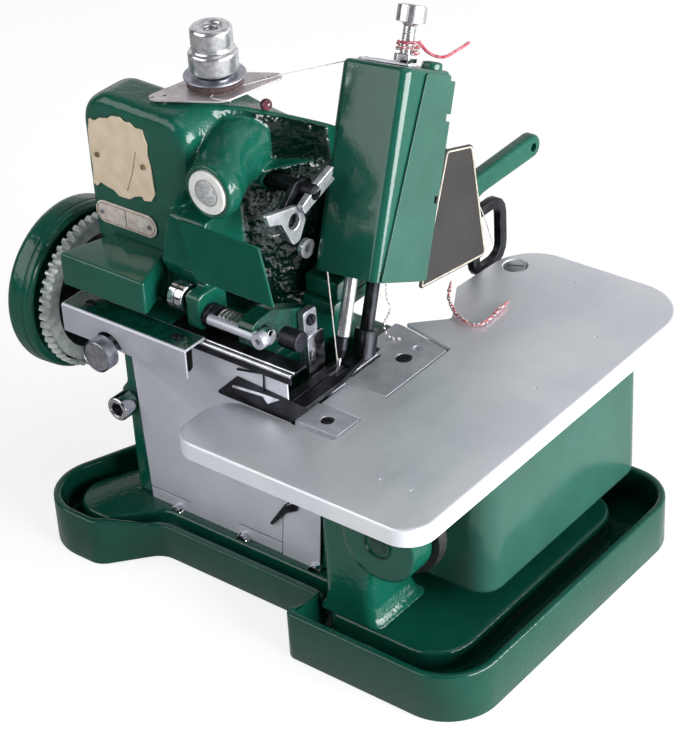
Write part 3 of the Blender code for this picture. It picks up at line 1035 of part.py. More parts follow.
# ---------------------------------------------------------------- build
def main():
    for obj in list(bpy.data.objects):
        bpy.data.objects.remove(obj, do_unlink=True)
    centre_y = (TRAY_FRONT + LIFTER_Y + LIFTER_REACH + LIFTER_TIP) / 2
    centre_x = (WHEEL_LEFT + TRAY_RIGHT) / 2
    machine = empty("machine", (-centre_x, -centre_y, 0.0))
    make_tray(machine)
    make_leg(machine)
    make_frame(machine)
    make_wheel(machine)
    make_cloth_plate(machine)
    make_needle_plates(machine)
    make_side_cover(machine)
    make_front_covers(machine)
    make_hood(machine)
    make_badges(machine)
    make_oil_cover(machine)
    make_tension(machine)
    make_head(machine)
    make_presser_foot(machine)
    make_knives(machine)
    make_lever(machine)
    make_feed_dog(machine)
    make_lifter(machine)


main()
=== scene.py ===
"""Looks of a three-thread overlock sewing machine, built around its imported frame.

Lengths are metres and +Z is up. The operator stands at -Y, the handwheel is at -X. Pieces are
drawn in the machine's own frame, whose Y zero is the needle line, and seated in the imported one.
"""
import json
import math

import bmesh
import bpy
from bpy.props import FloatProperty, FloatVectorProperty, IntProperty, PointerProperty
from mathutils import Matrix, Vector

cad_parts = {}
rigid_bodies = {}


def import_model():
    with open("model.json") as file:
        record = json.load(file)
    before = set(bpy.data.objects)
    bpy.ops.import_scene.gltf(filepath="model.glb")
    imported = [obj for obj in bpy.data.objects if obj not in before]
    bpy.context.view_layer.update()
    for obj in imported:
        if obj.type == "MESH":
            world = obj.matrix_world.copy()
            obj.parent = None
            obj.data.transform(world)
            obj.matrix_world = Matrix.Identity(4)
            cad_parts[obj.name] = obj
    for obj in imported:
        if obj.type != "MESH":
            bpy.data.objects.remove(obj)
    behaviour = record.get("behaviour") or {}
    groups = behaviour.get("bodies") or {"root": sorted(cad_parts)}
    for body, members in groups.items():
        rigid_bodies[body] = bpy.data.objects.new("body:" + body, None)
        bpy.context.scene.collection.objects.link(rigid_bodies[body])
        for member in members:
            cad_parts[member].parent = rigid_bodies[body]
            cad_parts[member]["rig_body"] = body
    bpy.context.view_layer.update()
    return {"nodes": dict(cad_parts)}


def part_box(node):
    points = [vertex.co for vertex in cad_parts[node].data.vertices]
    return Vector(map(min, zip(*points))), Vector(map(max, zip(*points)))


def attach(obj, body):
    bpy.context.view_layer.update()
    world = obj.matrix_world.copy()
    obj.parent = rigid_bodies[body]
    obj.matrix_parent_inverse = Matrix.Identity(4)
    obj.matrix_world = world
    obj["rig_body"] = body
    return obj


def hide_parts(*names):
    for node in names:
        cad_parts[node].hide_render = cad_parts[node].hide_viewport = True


bl_info = {
    "name": "Overlock Machine Looks",
    "version": (1, 0, 0),
    "blender": (4, 5, 0),
    "location": "View3D > Sidebar > Overlock",
    "description": "Finishes and fine pieces of a small cast-iron overlock sewing machine",
    "category": "Object",
}

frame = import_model()

# ---------------------------------------------------------------- places taken from the frame
TRAY_FRONT = -0.114                           # the tray's front in the machine's own frame
TRAY_LOW, TRAY_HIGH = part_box("base_tray")
SETBACK = TRAY_LOW.y - TRAY_FRONT             # packed Y of the machine's own Y zero
PLATE_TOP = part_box("cloth_plate")[1].z
WHEEL_LOW, WHEEL_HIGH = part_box("handwheel")
SHAFT_Y = (WHEEL_LOW.y + WHEEL_HIGH.y) / 2 - SETBACK
SHAFT_Z = (WHEEL_LOW.z + WHEEL_HIGH.z) / 2
WHEEL_R = (WHEEL_HIGH.z - WHEEL_LOW.z) / 2
RING_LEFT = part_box("toothed_ring")[0].x
FELT_LOW, FELT_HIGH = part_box("tension_felt")
STACK_X = (FELT_LOW.x + FELT_HIGH.x) / 2
STACK_Y = (FELT_LOW.y + FELT_HIGH.y) / 2 - SETBACK

# the head's own frame: tilted back and leaned to the left, its right front foot at zero
HEAD = (Matrix.Translation((0.033, -0.014, 0.1535)) @ Matrix.Rotation(math.radians(-24.8), 4, "X")
        @ Matrix.Rotation(math.radians(-5.2), 4, "Y"))
HEAD_W, HEAD_D, HEAD_H = 0.0392, 0.0414, 0.103
BAR_X, NEEDLE_BAR_Y, PRESSER_BAR_Y = -0.02, 0.0075, 0.027
NEEDLE_LINE, PRESSER_LINE = (BAR_X, NEEDLE_BAR_Y, 0), (BAR_X, PRESSER_BAR_Y, 0)

# shared by several pieces, in the machine's own frame
UP, AHEAD = (0, 0, 1), (0, -1, 0)
KNIFE_ROD = (0, -0.063, 0.1402)               # axis of the upper knife's rod, along X
ROCKER = (0, -0.016, 0.194)                   # axis of the needle drive's rocker shaft, along X
SOCKET = (-0.0855, -0.08, 0.0745)             # face of the socket screw in its ear

# camera: where it stands, its azimuth, elevation and roll in degrees, its lens in millimetres
CAMERA_AT = (0.62367, -0.76652, 0.7092)
CAMERA_TURN = (40.0, 32.5, -3.6)
CAMERA_LENS = 113.27
# soft lamps: place, target, watts, width and height
LAMPS = {
    "right_softbox": ((1.9, 0.25, 0.45), (0.02, 0.0, 0.12), 90.0, 2.0, 1.1),
    "top_softbox": ((0.35, 0.1, 1.3), (0.0, 0.0, 0.12), 2.0, 0.8, 0.8),
    "front_softbox": ((-0.76, -1.25, 1.0), (0.0, 0.0, 0.16), 15.0, 1.8, 1.2),
}


# ---------------------------------------------------------------- settings
class OverlockSizes(bpy.types.PropertyGroup):
    """Sizes and colours that a user would change."""
    wheel_steps: IntProperty(name="Wheel facets", description="Facets round the handwheel",
                             default=128, min=48)
    ring_teeth: IntProperty(name="Ring teeth", description="Teeth on the ring beside the handwheel",
                            default=54, min=20)
    cast_voxel: FloatProperty(name="Casting voxel", description="Voxel size of the main casting's skin",
                              default=0.001, unit="LENGTH", min=0.0006)
    edge: FloatProperty(name="Sheet edge", description="Rounding of the sheet pieces' edges",
                        default=0.0003, unit="LENGTH", min=0.0001)
    chain_pitch: FloatProperty(name="Stitch pitch", description="Pitch of the stitch chain's loops",
                               default=0.0026, unit="LENGTH", min=0.001)
    enamel: FloatVectorProperty(name="Enamel", description="Colour of the machine enamel",
                                subtype="COLOR", size=3, min=0, max=1, default=(0.005, 0.088, 0.058))
    lamp_level: FloatProperty(name="Lamp level", description="Level of the soft lamps", default=1.0, min=0.1)


def sizes():
    return bpy.context.scene.overlock_sizes


def linear(code):
    """Linear colour from an sRGB hex code."""
    values = [int(code[i:i + 2], 16) / 255 for i in (1, 3, 5)]
    return tuple(v / 12.92 if v <= 0.04045 else ((v + 0.055) / 1.055) ** 2.4 for v in values)


# ---------------------------------------------------------------- outlines and solids
def offset_corners(corners, inset):
    """Corners (x, y, r) of a counter-clockwise outline, moved inwards by one inset or one per edge."""
    count = len(corners)
    insets = inset if isinstance(inset, list) else [inset] * count
    moved = []
    for i in range(count):
        before = Vector(corners[i - 1][:2])
        here = Vector(corners[i][:2])
        after = Vector(corners[(i + 1) % count][:2])
        d0, d1 = (here - before).normalized(), (after - here).normalized()
        turn = d0.x * d1.y - d0.y * d1.x
        shift0, shift1 = insets[i - 1], insets[i]
        point = here + (d1 * shift0 - d0 * shift1) / turn
        change = min(shift0, shift1, key=abs) * (-1 if turn > 0 else 1)
        radius = max(corners[i][2] + change, 1e-5) if corners[i][2] else 0.0
        moved.append((point.x, point.y, radius))
    return moved


def rounded(corners, segments=8):
    """Points of an outline whose corners (x, y, r) are turned into arcs."""
    count = len(corners)
    points = []
    for i in range(count):
        before = Vector(corners[i - 1][:2])
        here = Vector(corners[i][:2])
        after = Vector(corners[(i + 1) % count][:2])
        radius = corners[i][2]
        d0, d1 = (here - before).normalized(), (after - here).normalized()
        angle = math.atan2(d0.x * d1.y - d0.y * d1.x, d0.dot(d1))
        if radius < 1e-6 or abs(angle) < 1e-3:
            points.append(tuple(here))
            continue
        start = here - d0 * radius * math.tan(abs(angle) / 2)
        spoke = Vector((d0.y, -d0.x)) * math.copysign(radius, angle)
        centre = start - spoke
        for k in range(segments + 1):
            c, s = math.cos(angle * k / segments), math.sin(angle * k / segments)
            points.append((centre.x + spoke.x * c - spoke.y * s, centre.y + spoke.x * s + spoke.y * c))
    return points


def box_corners(x0, x1, y0, y1, radius=0.0):
    return [(x0, y0, radius), (x1, y0, radius), (x1, y1, radius), (x0, y1, radius)]


def box_points(x0, x1, y0, y1):
    return [(x0, y0), (x1, y0), (x1, y1), (x0, y1)]


def ring_points(radius, count):
    return [(radius * math.cos(math.tau * i / count), radius * math.sin(math.tau * i / count))
            for i in range(count)]


def loft(rings):
    """Rings of equally many 3-D points, skinned and closed at both ends."""
    bm = bmesh.new()
    rows = [[bm.verts.new(p) for p in ring] for ring in rings]
    count = len(rows[0])
    for a, b in zip(rows, rows[1:]):
        for i in range(count):
            j = (i + 1) % count
            bm.faces.new((a[i], a[j], b[j], b[i]))
    bm.faces.new(reversed(rows[0]))
    bm.faces.new(rows[-1])
    bmesh.ops.recalc_face_normals(bm, faces=bm.faces)
    return bm


def prism(points, z0, z1):
    return loft([[(x, y, z) for x, y in points] for z in (z0, z1)])


def box(x0, x1, y0, y1, z0, z1, radius=0.0, segments=4):
    """A box whose upright edges are rounded."""
    return prism(rounded(box_corners(x0, x1, y0, y1, radius), segments), z0, z1)


def side_prism(points, x0, x1):
    """An outline in Y and Z, run along X."""
    return loft([[(x, y, z) for y, z in points] for x in (x0, x1)])


def front_prism(points, y0, y1):
    """An outline in X and Z, run along Y."""
    return loft([[(x, y, z) for x, z in points] for y in (y0, y1)])


def stepped(corners, levels, segments=8):
    """Corners lofted through (inset, z) levels."""
    return loft([[(x, y, z) for x, y in rounded(offset_corners(corners, inset), segments)]
                 for inset, z in levels])


def fillet(inset, z, radius, start, end, steps=5):
    """Levels (inset, z) of a round about a centre (inset, z), from one angle to another in degrees."""
    levels = []
    for k in range(steps + 1):
        a = math.radians(start + (end - start) * k / steps)
        levels.append((inset + radius * math.cos(a), z + radius * math.sin(a)))
    return levels


def pressed(corners, z0, z1, top=0.0, bottom=0.0, shares=None, segments=8, steps=5):
    """Corners lifted from z0 to z1 with rounded edges, of which each side takes its own share."""
    shares = shares or [1.0] * len(corners)
    levels = []
    for k in range(steps + 1 if bottom else 1):
        a = math.pi / 2 * k / steps
        levels.append((bottom * (1 - math.sin(a)), z0 + bottom * (1 - math.cos(a))))
    for k in range(steps + 1 if top else 1):
        a = math.pi / 2 * (1 - k / steps)
        levels.append((top * (1 - math.sin(a)), z1 - top * (1 - math.cos(a))))
    rings = []
    for inset, z in levels:
        outline = rounded(offset_corners(corners, [inset * share for share in shares]), segments)
        rings.append([(x, y, z) for x, y in outline])
    return loft(rings)


def turned(profile, steps=64, hollow=False):
    """A profile of (radius, z) points turned about Z, from axis to axis or as a closed loop."""
    bm = bmesh.new()
    rows = []
    for radius, z in profile:
        if radius < 1e-7:
            rows.append([bm.verts.new((0.0, 0.0, z))])
        else:
            rows.append([bm.verts.new((x, y, z)) for x, y in ring_points(radius, steps)])
    pairs = list(zip(rows, rows[1:]))
    if hollow:
        pairs.append((rows[-1], rows[0]))
    for a, b in pairs:
        for i in range(steps):
            j = (i + 1) % steps
            if len(a) == 1:
                bm.faces.new((a[0], b[j], b[i]))
            elif len(b) == 1:
                bm.faces.new((a[i], a[j], b[0]))
            else:
                bm.faces.new((a[i], a[j], b[j], b[i]))
    bmesh.ops.recalc_face_normals(bm, faces=bm.faces)
    return bm


def eased(profile, radius, steps=3, closed=False):
    """A turned profile whose corners are rounded off; the ends of an open one stay as they are."""
    points = []
    count = len(profile)
    for i in range(count):
        if not closed and i in (0, count - 1):
            points.append(profile[i])
            continue
        here = Vector(profile[i])
        back, ahead = Vector(profile[i - 1]) - here, Vector(profile[(i + 1) % count]) - here
        r = min(radius, back.length / 2.2, ahead.length / 2.2)
        start, end = here + back.normalized() * r, here + ahead.normalized() * r
        for k in range(steps + 1):
            t = k / steps
            point = start * (1 - t) ** 2 + here * 2 * t * (1 - t) + end * t ** 2
            points.append((max(point.x, 0.0), point.y))
    return points


def lathe(profile, edge, steps=64, arc=3, ring=False):
    """A turned profile with rounded corners, solid to its axis or a ring."""
    return turned(eased(profile, edge, arc, ring), steps, ring)


def rod(radius, z0, z1, edge=0.0003, steps=64):
    profile = [(0, z0), (radius, z0), (radius, z1), (0, z1)]
    return turned(eased(profile, edge) if edge else profile, steps)


def sweep(path, radius, sides=8):
    """A round wire along a list of 3-D points."""
    path = [Vector(p) for p in path]
    rings = []
    normal = None
    for i, p in enumerate(path):
        ahead = path[min(i + 1, len(path) - 1)] - path[max(i - 1, 0)]
        ahead.normalize()
        if normal is None:
            normal = ahead.orthogonal().normalized()
        normal = (normal - ahead * normal.dot(ahead)).normalized()
        across = ahead.cross(normal)
        rings.append([tuple(p + (normal * math.cos(a) + across * math.sin(a)) * radius)
                      for a in (math.tau * k / sides for k in range(sides))])
    return loft(rings)


def curve_through(points, per=8):
    """Points of a smooth curve through chosen points."""
    points = [Vector(p) for p in points]
    ends = [points[0] * 2 - points[1]] + points + [points[-1] * 2 - points[-2]]
    made = []
    for i in range(1, len(ends) - 2):
        a, b, c, d = ends[i - 1:i + 3]
        for k in range(per):
            t = k / per
            made.append(0.5 * (2 * b + (c - a) * t + (2 * a - 5 * b + 4 * c - d) * t ** 2
                               + (3 * b - a - 3 * c + d) * t ** 3))
    return made + [points[-1]]


TURNS = {
    "Z": Matrix.Identity(4),
    "X": Matrix.Rotation(math.pi / 2, 4, "Y"),
    "Y": Matrix.Rotation(-math.pi / 2, 4, "X"),
}


def put(bm, at=(0, 0, 0), axis="Z", matrix=None):
    """A solid turned so that its Z runs along an axis, then moved; or moved by a matrix."""
    matrix = matrix or Matrix.Translation(at) @ TURNS[axis]
    bmesh.ops.transform(bm, matrix=matrix, verts=bm.verts)
    return bm


def on_head(bm, at=(0, 0, 0)):
    """A solid moved to a place in the head's frame, and seated on the tilted head."""
    return put(put(bm, at), matrix=HEAD)


def merged(*solids):
    """Several solids in one mesh."""
    whole = solids[0]
    for other in solids[1:]:
        mesh = bpy.data.meshes.new("merging")
        other.to_mesh(mesh)
        other.free()
        whole.from_mesh(mesh)
        bpy.data.meshes.remove(mesh)
    return whole


def carve(bm, *cutters, operation="DIFFERENCE"):
    """A solid with others cut from it, or added to it, as one closed skin."""
    objects = []
    for solid in (bm, merged(*cutters)):
        mesh = bpy.data.meshes.new("carving")
        solid.to_mesh(mesh)
        solid.free()
        obj = bpy.data.objects.new("carving", mesh)
        bpy.context.collection.objects.link(obj)
        objects.append(obj)
    target, tool = objects
    modifier = target.modifiers.new("carve", "BOOLEAN")
    modifier.operation = operation
    modifier.solver = "EXACT"
    modifier.use_self = True
    modifier.object = tool
    done = evaluated(target)
    result = bmesh.new()
    result.from_mesh(done)
    for obj in objects:
        mesh = obj.data
        bpy.data.objects.remove(obj)
        bpy.data.meshes.remove(mesh)
    bpy.data.meshes.remove(done)
    bmesh.ops.remove_doubles(result, verts=result.verts, dist=1e-7)
    return result


def evaluated(obj):
    """A plain mesh of an object with its modifiers applied."""
    graph = bpy.context.evaluated_depsgraph_get()
    graph.update()
    return bpy.data.meshes.new_from_object(obj.evaluated_get(graph))


def copied(node):
    """A merged copy of a CAD node's mesh, back in the machine's own frame."""
    bm = bmesh.new()
    bm.from_mesh(frame["nodes"][node].data)
    bmesh.ops.remove_doubles(bm, verts=bm.verts, dist=2e-6)
    bmesh.ops.dissolve_limit(bm, angle_limit=math.radians(0.5), verts=bm.verts, edges=bm.edges)
    bmesh.ops.translate(bm, vec=(0, -SETBACK, 0), verts=bm.verts)
    return bm


def shown(name, bm, material, slot, body="body", nodes=(), smooth=35, edge=0.0, sharp=50):
    """One finished piece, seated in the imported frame, that rides on a body."""
    bmesh.ops.translate(bm, vec=(0, SETBACK, 0), verts=bm.verts)
    mesh = bpy.data.meshes.new(name)
    bm.to_mesh(mesh)
    bm.free()
    mesh.materials.append(finish(material))
    mesh.shade_smooth()
    mesh.set_sharp_from_angle(angle=math.radians(smooth))
    obj = bpy.data.objects.new(name, mesh)
    bpy.context.collection.objects.link(obj)
    if edge:
        modifier = obj.modifiers.new("edges", "BEVEL")
        modifier.width = edge
        modifier.segments = 2
        modifier.limit_method = "ANGLE"
        modifier.angle_limit = math.radians(sharp)
        modifier.use_clamp_overlap = False
        modifier.harden_normals = True
    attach(obj, body)
    if nodes:
        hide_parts(*nodes)
    return obj


def remade(node, bm, material, slot, **more):
    """A piece that stands for a CAD node and rides on its body."""
    return shown(node + "_piece", bm, material, slot, frame["nodes"][node]["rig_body"], (node,), **more)


def carried(node, material, slot, edge=None):
    """A CAD node's own shape, with its edges rounded."""
    return remade(node, copied(node), material, slot, edge=sizes().edge if edge is None else edge)


# ---------------------------------------------------------------- nodes
def node(tree, kind, inputs=None, **settings):
    """Add one node with its settings, values and links; a node given as a value stands for its first output."""
    made = tree.nodes.new(kind)
    for key, value in settings.items():
        setattr(made, key, value)
    for key, value in (inputs or {}).items():
        if isinstance(value, bpy.types.Node):
            value = value.outputs[0]
        if isinstance(value, bpy.types.NodeSocket):
            tree.links.new(value, made.inputs[key])
        else:
            made.inputs[key].default_value = value
    return made


def mottle(tree, size, detail=3.0, least=0.0, most=1.0, stretch=(1, 1, 1), high=0.65):
    """A cloudy field of a real size in metres, spread from least to most."""
    place = node(tree, "ShaderNodeTexCoord").outputs["Object"]
    turn = node(tree, "ShaderNodeMapping", {"Vector": place, "Scale": tuple(1 / (size * s) for s in stretch)})
    cloud = node(tree, "ShaderNodeTexNoise", {"Vector": turn, "Scale": 1.0, "Detail": detail})
    return node(tree, "ShaderNodeMapRange", {"Value": cloud, "From Min": 0.35, "From Max": high,
                                             "To Min": least, "To Max": most}).outputs["Result"]


def roughened(tree, shader, field, depth):
    """Raise the surface by a field, to a depth in metres."""
    bump = node(tree, "ShaderNodeBump", {"Height": field, "Distance": depth})
    previous = shader.inputs["Normal"].links
    if previous:
        tree.links.new(previous[0].from_socket, bump.inputs["Normal"])
    tree.links.new(bump.outputs["Normal"], shader.inputs["Normal"])


def surface(name, roughness, metallic, tint, relief=None, more=None):
    """A Principled material whose colour, relief and, given as a tuple, roughness are cloudy fields."""
    material = bpy.data.materials.new(name)
    material.use_nodes = True
    tree = material.node_tree
    shader = tree.nodes["Principled BSDF"]
    for key, value in {"Metallic": metallic, **(more or {})}.items():
        shader.inputs[key].default_value = value
    size, detail, first, second = tint
    mix = node(tree, "ShaderNodeMix", {"Factor": mottle(tree, size, detail), "A": (*first, 1.0),
                                       "B": (*second, 1.0)}, data_type="RGBA")
    tree.links.new(mix.outputs["Result"], shader.inputs["Base Color"])
    if isinstance(roughness, tuple):
        tree.links.new(mottle(tree, *roughness), shader.inputs["Roughness"])
    else:
        shader.inputs["Roughness"].default_value = roughness
    if relief:
        size, detail, depth, *stretch = relief
        roughened(tree, shader, mottle(tree, size, detail, 0.0, 1.0, *stretch), depth)
    return material


# ---------------------------------------------------------------- finishes
# Machine enamels: depth of the orange peel, rubbed dullness added to the gloss, a pale veil added to the colour
# as
# painted sheen, and a factor on the colour that darkens it as painted shade below one; then the cloud of the
# colour:
# its size, detail, and the shares of its two colours.
EVEN = (0.03, 5.0, 0.92, 1.12)
LUMP, LUMP_DEPTH = 0.008, 0.0009
CHAIN_THREAD = 0.00028
ENAMELS = {
    # stoving enamel on filled cast iron: deep green gloss with a soft orange peel and rubbed patches
    "cast_enamel": (0.0001, 0.12, 0.0, 1.0, EVEN),
    # the same enamel on the base, darkened as painted shade of the moat under the machine; very glossy, with a
    # slow ripple
    "tray_shaded_enamel": (0.00006, 0.09, 0.0, 0.72, EVEN),
    # the same enamel on pressed steel sheet: flatter, so it mirrors more sharply
    "sheet_enamel": (0.00003, 0.07, 0.0, 1.0, EVEN),
    # the head's enamel, rubbed by hands to a near mirror, with a faint pale veil as painted sheen
    "head_enamel": (0.00002, 0.05, 0.006, 1.0, EVEN),
    # the box cover's and side sheet's enamel, with a pale veil as painted sheen, so broad sides look milky
    "box_enamel": (0.00003, 0.1, 0.024, 1.0, EVEN),
    # enamel darkened to nearly black green, partly by oil and partly as painted shade: on the plug, the knife
    # arm and the rail's top slab
    "oiled_and_shaded_enamel": (0.00004, 0.1, 0.0, 0.45, (0.004, 3.0, 0.7, 1.4)),
    # stoving enamel on the main casting: smooth on the block, lumpy where the sand-cast arm recedes behind the
    # needle drive, so its gloss breaks into small glints, and darkened there to near black as painted shade
    "rough_enamel": (0.0001, 0.1, 0.0, 1.0, EVEN),
}

# Other finishes: roughness, or the size, detail, least and most of its cloud; metallic; the colour's
# cloud as size, detail and two colours; then where needed the relief as size, detail, depth and
# stretch, and other sockets. Brushed, ground and turned lines are drawn coarser than they are, to show.
FINISHES = {
    # cold-rolled steel sheet, brushed along X and gone dull with handling
    "brushed_steel": ((0.0004, 2.0, 0.4, 0.54, (60, 60, 1)), 0.3, (0.035, 4.0, "#d2d4e0", "#dee0ea"),
                      (0.0005, 2.0, 0.00001, (60, 60, 1))),
    # polished and chromed work plate: pale, satin, with faint rubbing marks where cloth slides
    "plate_steel": ((0.02, 6.0, 0.4, 0.46, (0.4, 1.6, 1)), 0.72, (0.045, 5.0, "#e6e9f2", "#f3f5fb"),
                    (0.0012, 3.0, 0.000012)),
    # cold-rolled strip left as it came: dark oxide grey on the flat, brighter where hands rub it
    "rail_steel": (0.4, 0.4, (0.03, 5.0, "#bcbeca", "#ced0da"), (0.0006, 2.0, 0.00001, (40, 1, 1))),
    # surface-ground and lapped plates round the needle: light grey, satin, faint ring marks
    "lapped_steel": (0.44, 0.7, (0.009, 5.0, "#c6c8d1", "#dcdee6"), (0.0006, 2.0, 0.00001, (1, 30, 30))),
    # turned and knurled steel, nickelled and gone dull: pale face, grey ribs
    "knurled_steel": (0.34, 1.0, (0.003, 4.0, "#989aa1", "#c2c4ca")),
    # zinc-coated toothed ring, dulled and powdery: pale grey
    "worn_zinc": (0.5, 0.2, (0.004, 5.0, "#bcc6c4", "#e2e8e6")),
    # crease, lines and rivets of the brass plates, brown where polish never reaches
    "stained_brass": (0.42, 0.8, (0.003, 5.0, "#80694a", "#b9a37d")),
    # forged and buffed levers under thin chrome: bright, softly blurred, greyer in the hollows
    "bright_steel": (0.26, 0.75, (0.005, 5.0, "#bcbec6", "#e6e7eb")),
    # chrome worn milky by fingers and oil: needle bar, nut and screw head
    "milky_chrome": (0.22, 0.85, (0.003, 4.0, "#c3c5ca", "#e6e7e9")),
    # surface-ground tool steel: fine lines and a mid grey mirror that breaks up along them
    "ground_steel": (0.4, 1.0, (0.01, 4.0, "#9a9ca4", "#b6b8c0"), (0.0005, 2.0, 0.00001, (1, 40, 40))),
    # oil-blackened steel: almost black, with a dull greasy sheen
    "blued_steel": ((0.004, 3.0, 0.28, 0.5), 0.85, (0.008, 4.0, "#1d1e22", "#3a3b41")),
    # bright plating on turned and stamped steel: near mirror with the odd cloudy spot
    "nickel_chrome": ((0.005, 4.0, 0.07, 0.2), 1.0, (0.007, 5.0, "#c9cad0", "#e3e4e8")),
    # drawn spring steel under a film of oil: brownish grey, glossy
    "spring_wire": (0.3, 1.0, (0.004, 3.0, "#6d6a68", "#a8a6a4")),
    # nickel-plated stamping, gone pinkish grey and pitted with age
    "stamped_steel": (0.4, 0.55, (0.006, 6.0, "#c8c0c6", "#e2dbe0"), (0.001, 4.0, 0.00003)),
    # turned aluminium disc: pale grey, its turning lines blurred to a soft gloss
    "turned_alloy": (0.38, 1.0, (0.006, 3.0, "#a5a6b1", "#c4c5ce")),
    # etched brass plate, bare: pale peachy tan, stained and a little mottled
    "etched_brass": (0.46, 0.15, (0.006, 7.0, "#e6d2b4", "#f0e0c8"), (0.0009, 4.0, 0.00003)),
    # thin aluminium plate, bare: warm and pale, faintly stained
    "bare_alloy": (0.42, 0.2, (0.004, 5.0, "#d3c4bb", "#f3ece7")),
    # turned bearing bronze, brown with oil
    "turned_brass": (0.35, 1.0, (0.005, 3.0, "#7b683d", "#a08c5b")),
    # black lacquered sheet, bare: satin, a shade browner where fingers have rubbed it
    "black_lacquer": (0.34, 0.0, (0.03, 2.0, "#282726", "#33302e")),
    # pale cream printing ink round the tag's edge: matt
    "pale_line": (0.5, 0.0, (0.004, 5.0, "#b9b1a4", "#ddd7cb")),
    # pressed wool felt washer soaked with oil: dark brown and fibrous
    "brown_felt": (0.9, 0.0, (0.0015, 6.0, "#2d1f20", "#5d4442"), (0.0006, 6.0, 0.0002), {"Sheen Weight": 0.3}),
    # moulded oil seal rubber: soft black
    "black_rubber": (0.55, 0.0, (0.004, 3.0, "#101113", "#222326")),
    # moulded white retaining ring, slightly yellowed, satin
    "white_plastic": (0.32, 0.0, (0.006, 3.0, "#e2e4df", "#f4f5f2")),
    # cloudy domed sight glass over pale oil felt: grey, wet gloss, finely rippled
    "sight_glass": (0.12, 0.0, (0.0016, 4.0, "#9b9da2", "#cfd1d3"), (0.0012, 3.0, 0.00025),
                    {"Coat Weight": 0.6}),
    # spun polyester sewing thread, white: soft and fuzzy
    "white_thread": (0.8, 0.0, (0.0012, 3.0, "#b9b3ae", "#dedad6"), None, {"Sheen Weight": 0.3}),
    # spun polyester sewing thread, dyed rose red: soft and fuzzy
    "red_thread": (0.8, 0.0, (0.003, 3.0, "#a83046", "#e08a98"), None, {"Sheen Weight": 0.3}),
    # small oil plug of dark red moulded plastic: wet gloss
    "red_glass": (0.15, 0.0, (0.003, 3.0, "#401a24", "#7d4450"), None, {"Coat Weight": 0.5}),
}
MADE = {}


def lumps_and_painted_shade(tree, shader):
    """Lumps, and painted shade that darkens the colour to near black, where the sand-cast arm recedes, kept to
    it by place and by facing.
    """
    place = node(tree, "ShaderNodeTexCoord").outputs["Object"]
    at = node(tree, "ShaderNodeSeparateXYZ", {"Vector": place}).outputs
    normal = node(tree, "ShaderNodeNewGeometry").outputs["Normal"]
    facing = node(tree, "ShaderNodeSeparateXYZ", {"Vector": normal}).outputs
    area = None
    for value, start, end in ((at["X"], -0.047, -0.036), (at["Z"], 0.1, 0.118), (at["Y"], -0.061, -0.047),
                              (facing["Y"], -0.15, -0.55)):
        mask = node(tree, "ShaderNodeMapRange", {"Value": value, "From Min": start, "From Max": end})
        area = node(tree, "ShaderNodeMath", {0: area, 1: mask}, operation="MULTIPLY") if area else mask
    lumps = mottle(tree, LUMP, 2.0, high=0.7)
    height = node(tree, "ShaderNodeMath", {0: lumps, 1: area}, operation="MULTIPLY")
    roughened(tree, shader, height, LUMP_DEPTH)
    # painted shade: in the recess, on faces turned to the front, the colour is mixed to near black
    clean = shader.inputs["Base Color"].links[0].from_socket
    share = node(tree, "ShaderNodeMath", {0: area, 1: 0.97}, operation="MULTIPLY")
    mix = node(tree, "ShaderNodeMix",
               {"Factor": share, "A": clean, "B": (*(Vector(sizes().enamel) * 0.08), 1.0)}, data_type="RGBA")
    tree.links.new(mix.outputs["Result"], shader.inputs["Base Color"])


def rim_painted_highlight(tree, shader):
    """Make the turned-down rim less metallic than the flat top, by facing, so it renders paler as a painted
    highlight.
    """
    normal = node(tree, "ShaderNodeNewGeometry").outputs["Normal"]
    facing = node(tree, "ShaderNodeSeparateXYZ", {"Vector": normal}).outputs
    grade = {"Value": facing["Z"], "From Min": 0.35, "From Max": 0.85, "To Min": 0.12, "To Max": 0.72}
    flat = node(tree, "ShaderNodeMapRange", grade)
    tree.links.new(flat.outputs["Result"], shader.inputs["Metallic"])


def finish(name):
    """The material of a name, made once from its row."""
    if name in MADE:
        return MADE[name]
    if name in ENAMELS:
        peel, dust, painted_sheen, depth, (size, detail, first, second) = ENAMELS[name]
        # the pale veil is painted sheen; a depth below one darkens the colour as painted shade
        colour = Vector(sizes().enamel) * depth + Vector((painted_sheen, painted_sheen * 0.7, painted_sheen * 0.9))
        material = surface(name, (0.012, 4.0, 0.11, 0.11 + dust), 0.0,
                           (size, detail, colour * first, colour * second), (0.003, 2.0, peel))
    else:
        roughness, metallic, (size, detail, first, second), *rest = FINISHES[name]
        material = surface(name, roughness, metallic, (size, detail, linear(first), linear(second)), *rest)
    extra = {"rough_enamel": lumps_and_painted_shade, "plate_steel": rim_painted_highlight}.get(name)
    if extra:
        extra(material.node_tree, material.node_tree.nodes["Principled BSDF"])
    MADE[name] = material
    return material


# ---------------------------------------------------------------- what repeats
def new_group(name, sockets):
    """A geometry-nodes group with named inputs and a finish: the group, its inputs and its output node."""
    group = bpy.data.node_groups.new(name, "GeometryNodeTree")
    group.interface.new_socket("Geometry", in_out="INPUT", socket_type="NodeSocketGeometry")
    for key, default in sockets.items():
        kind = "NodeSocketInt" if isinstance(default, int) else "NodeSocketFloat"
        group.interface.new_socket(key, in_out="INPUT", socket_type=kind).default_value = default
    group.interface.new_socket("Finish", in_out="INPUT", socket_type="NodeSocketMaterial")
    group.interface.new_socket("Geometry", in_out="OUTPUT", socket_type="NodeSocketGeometry")
    return group, node(group, "NodeGroupInput").outputs


def closed_group(group, given, geometry):
    """End a group in real geometry that wears its finish."""
    real = node(group, "GeometryNodeRealizeInstances", {"Geometry": geometry})
    worn = node(group, "GeometryNodeSetMaterial", {"Geometry": real, "Material": given["Finish"]})
    node(group, "NodeGroupOutput", {"Geometry": worn})
    return group


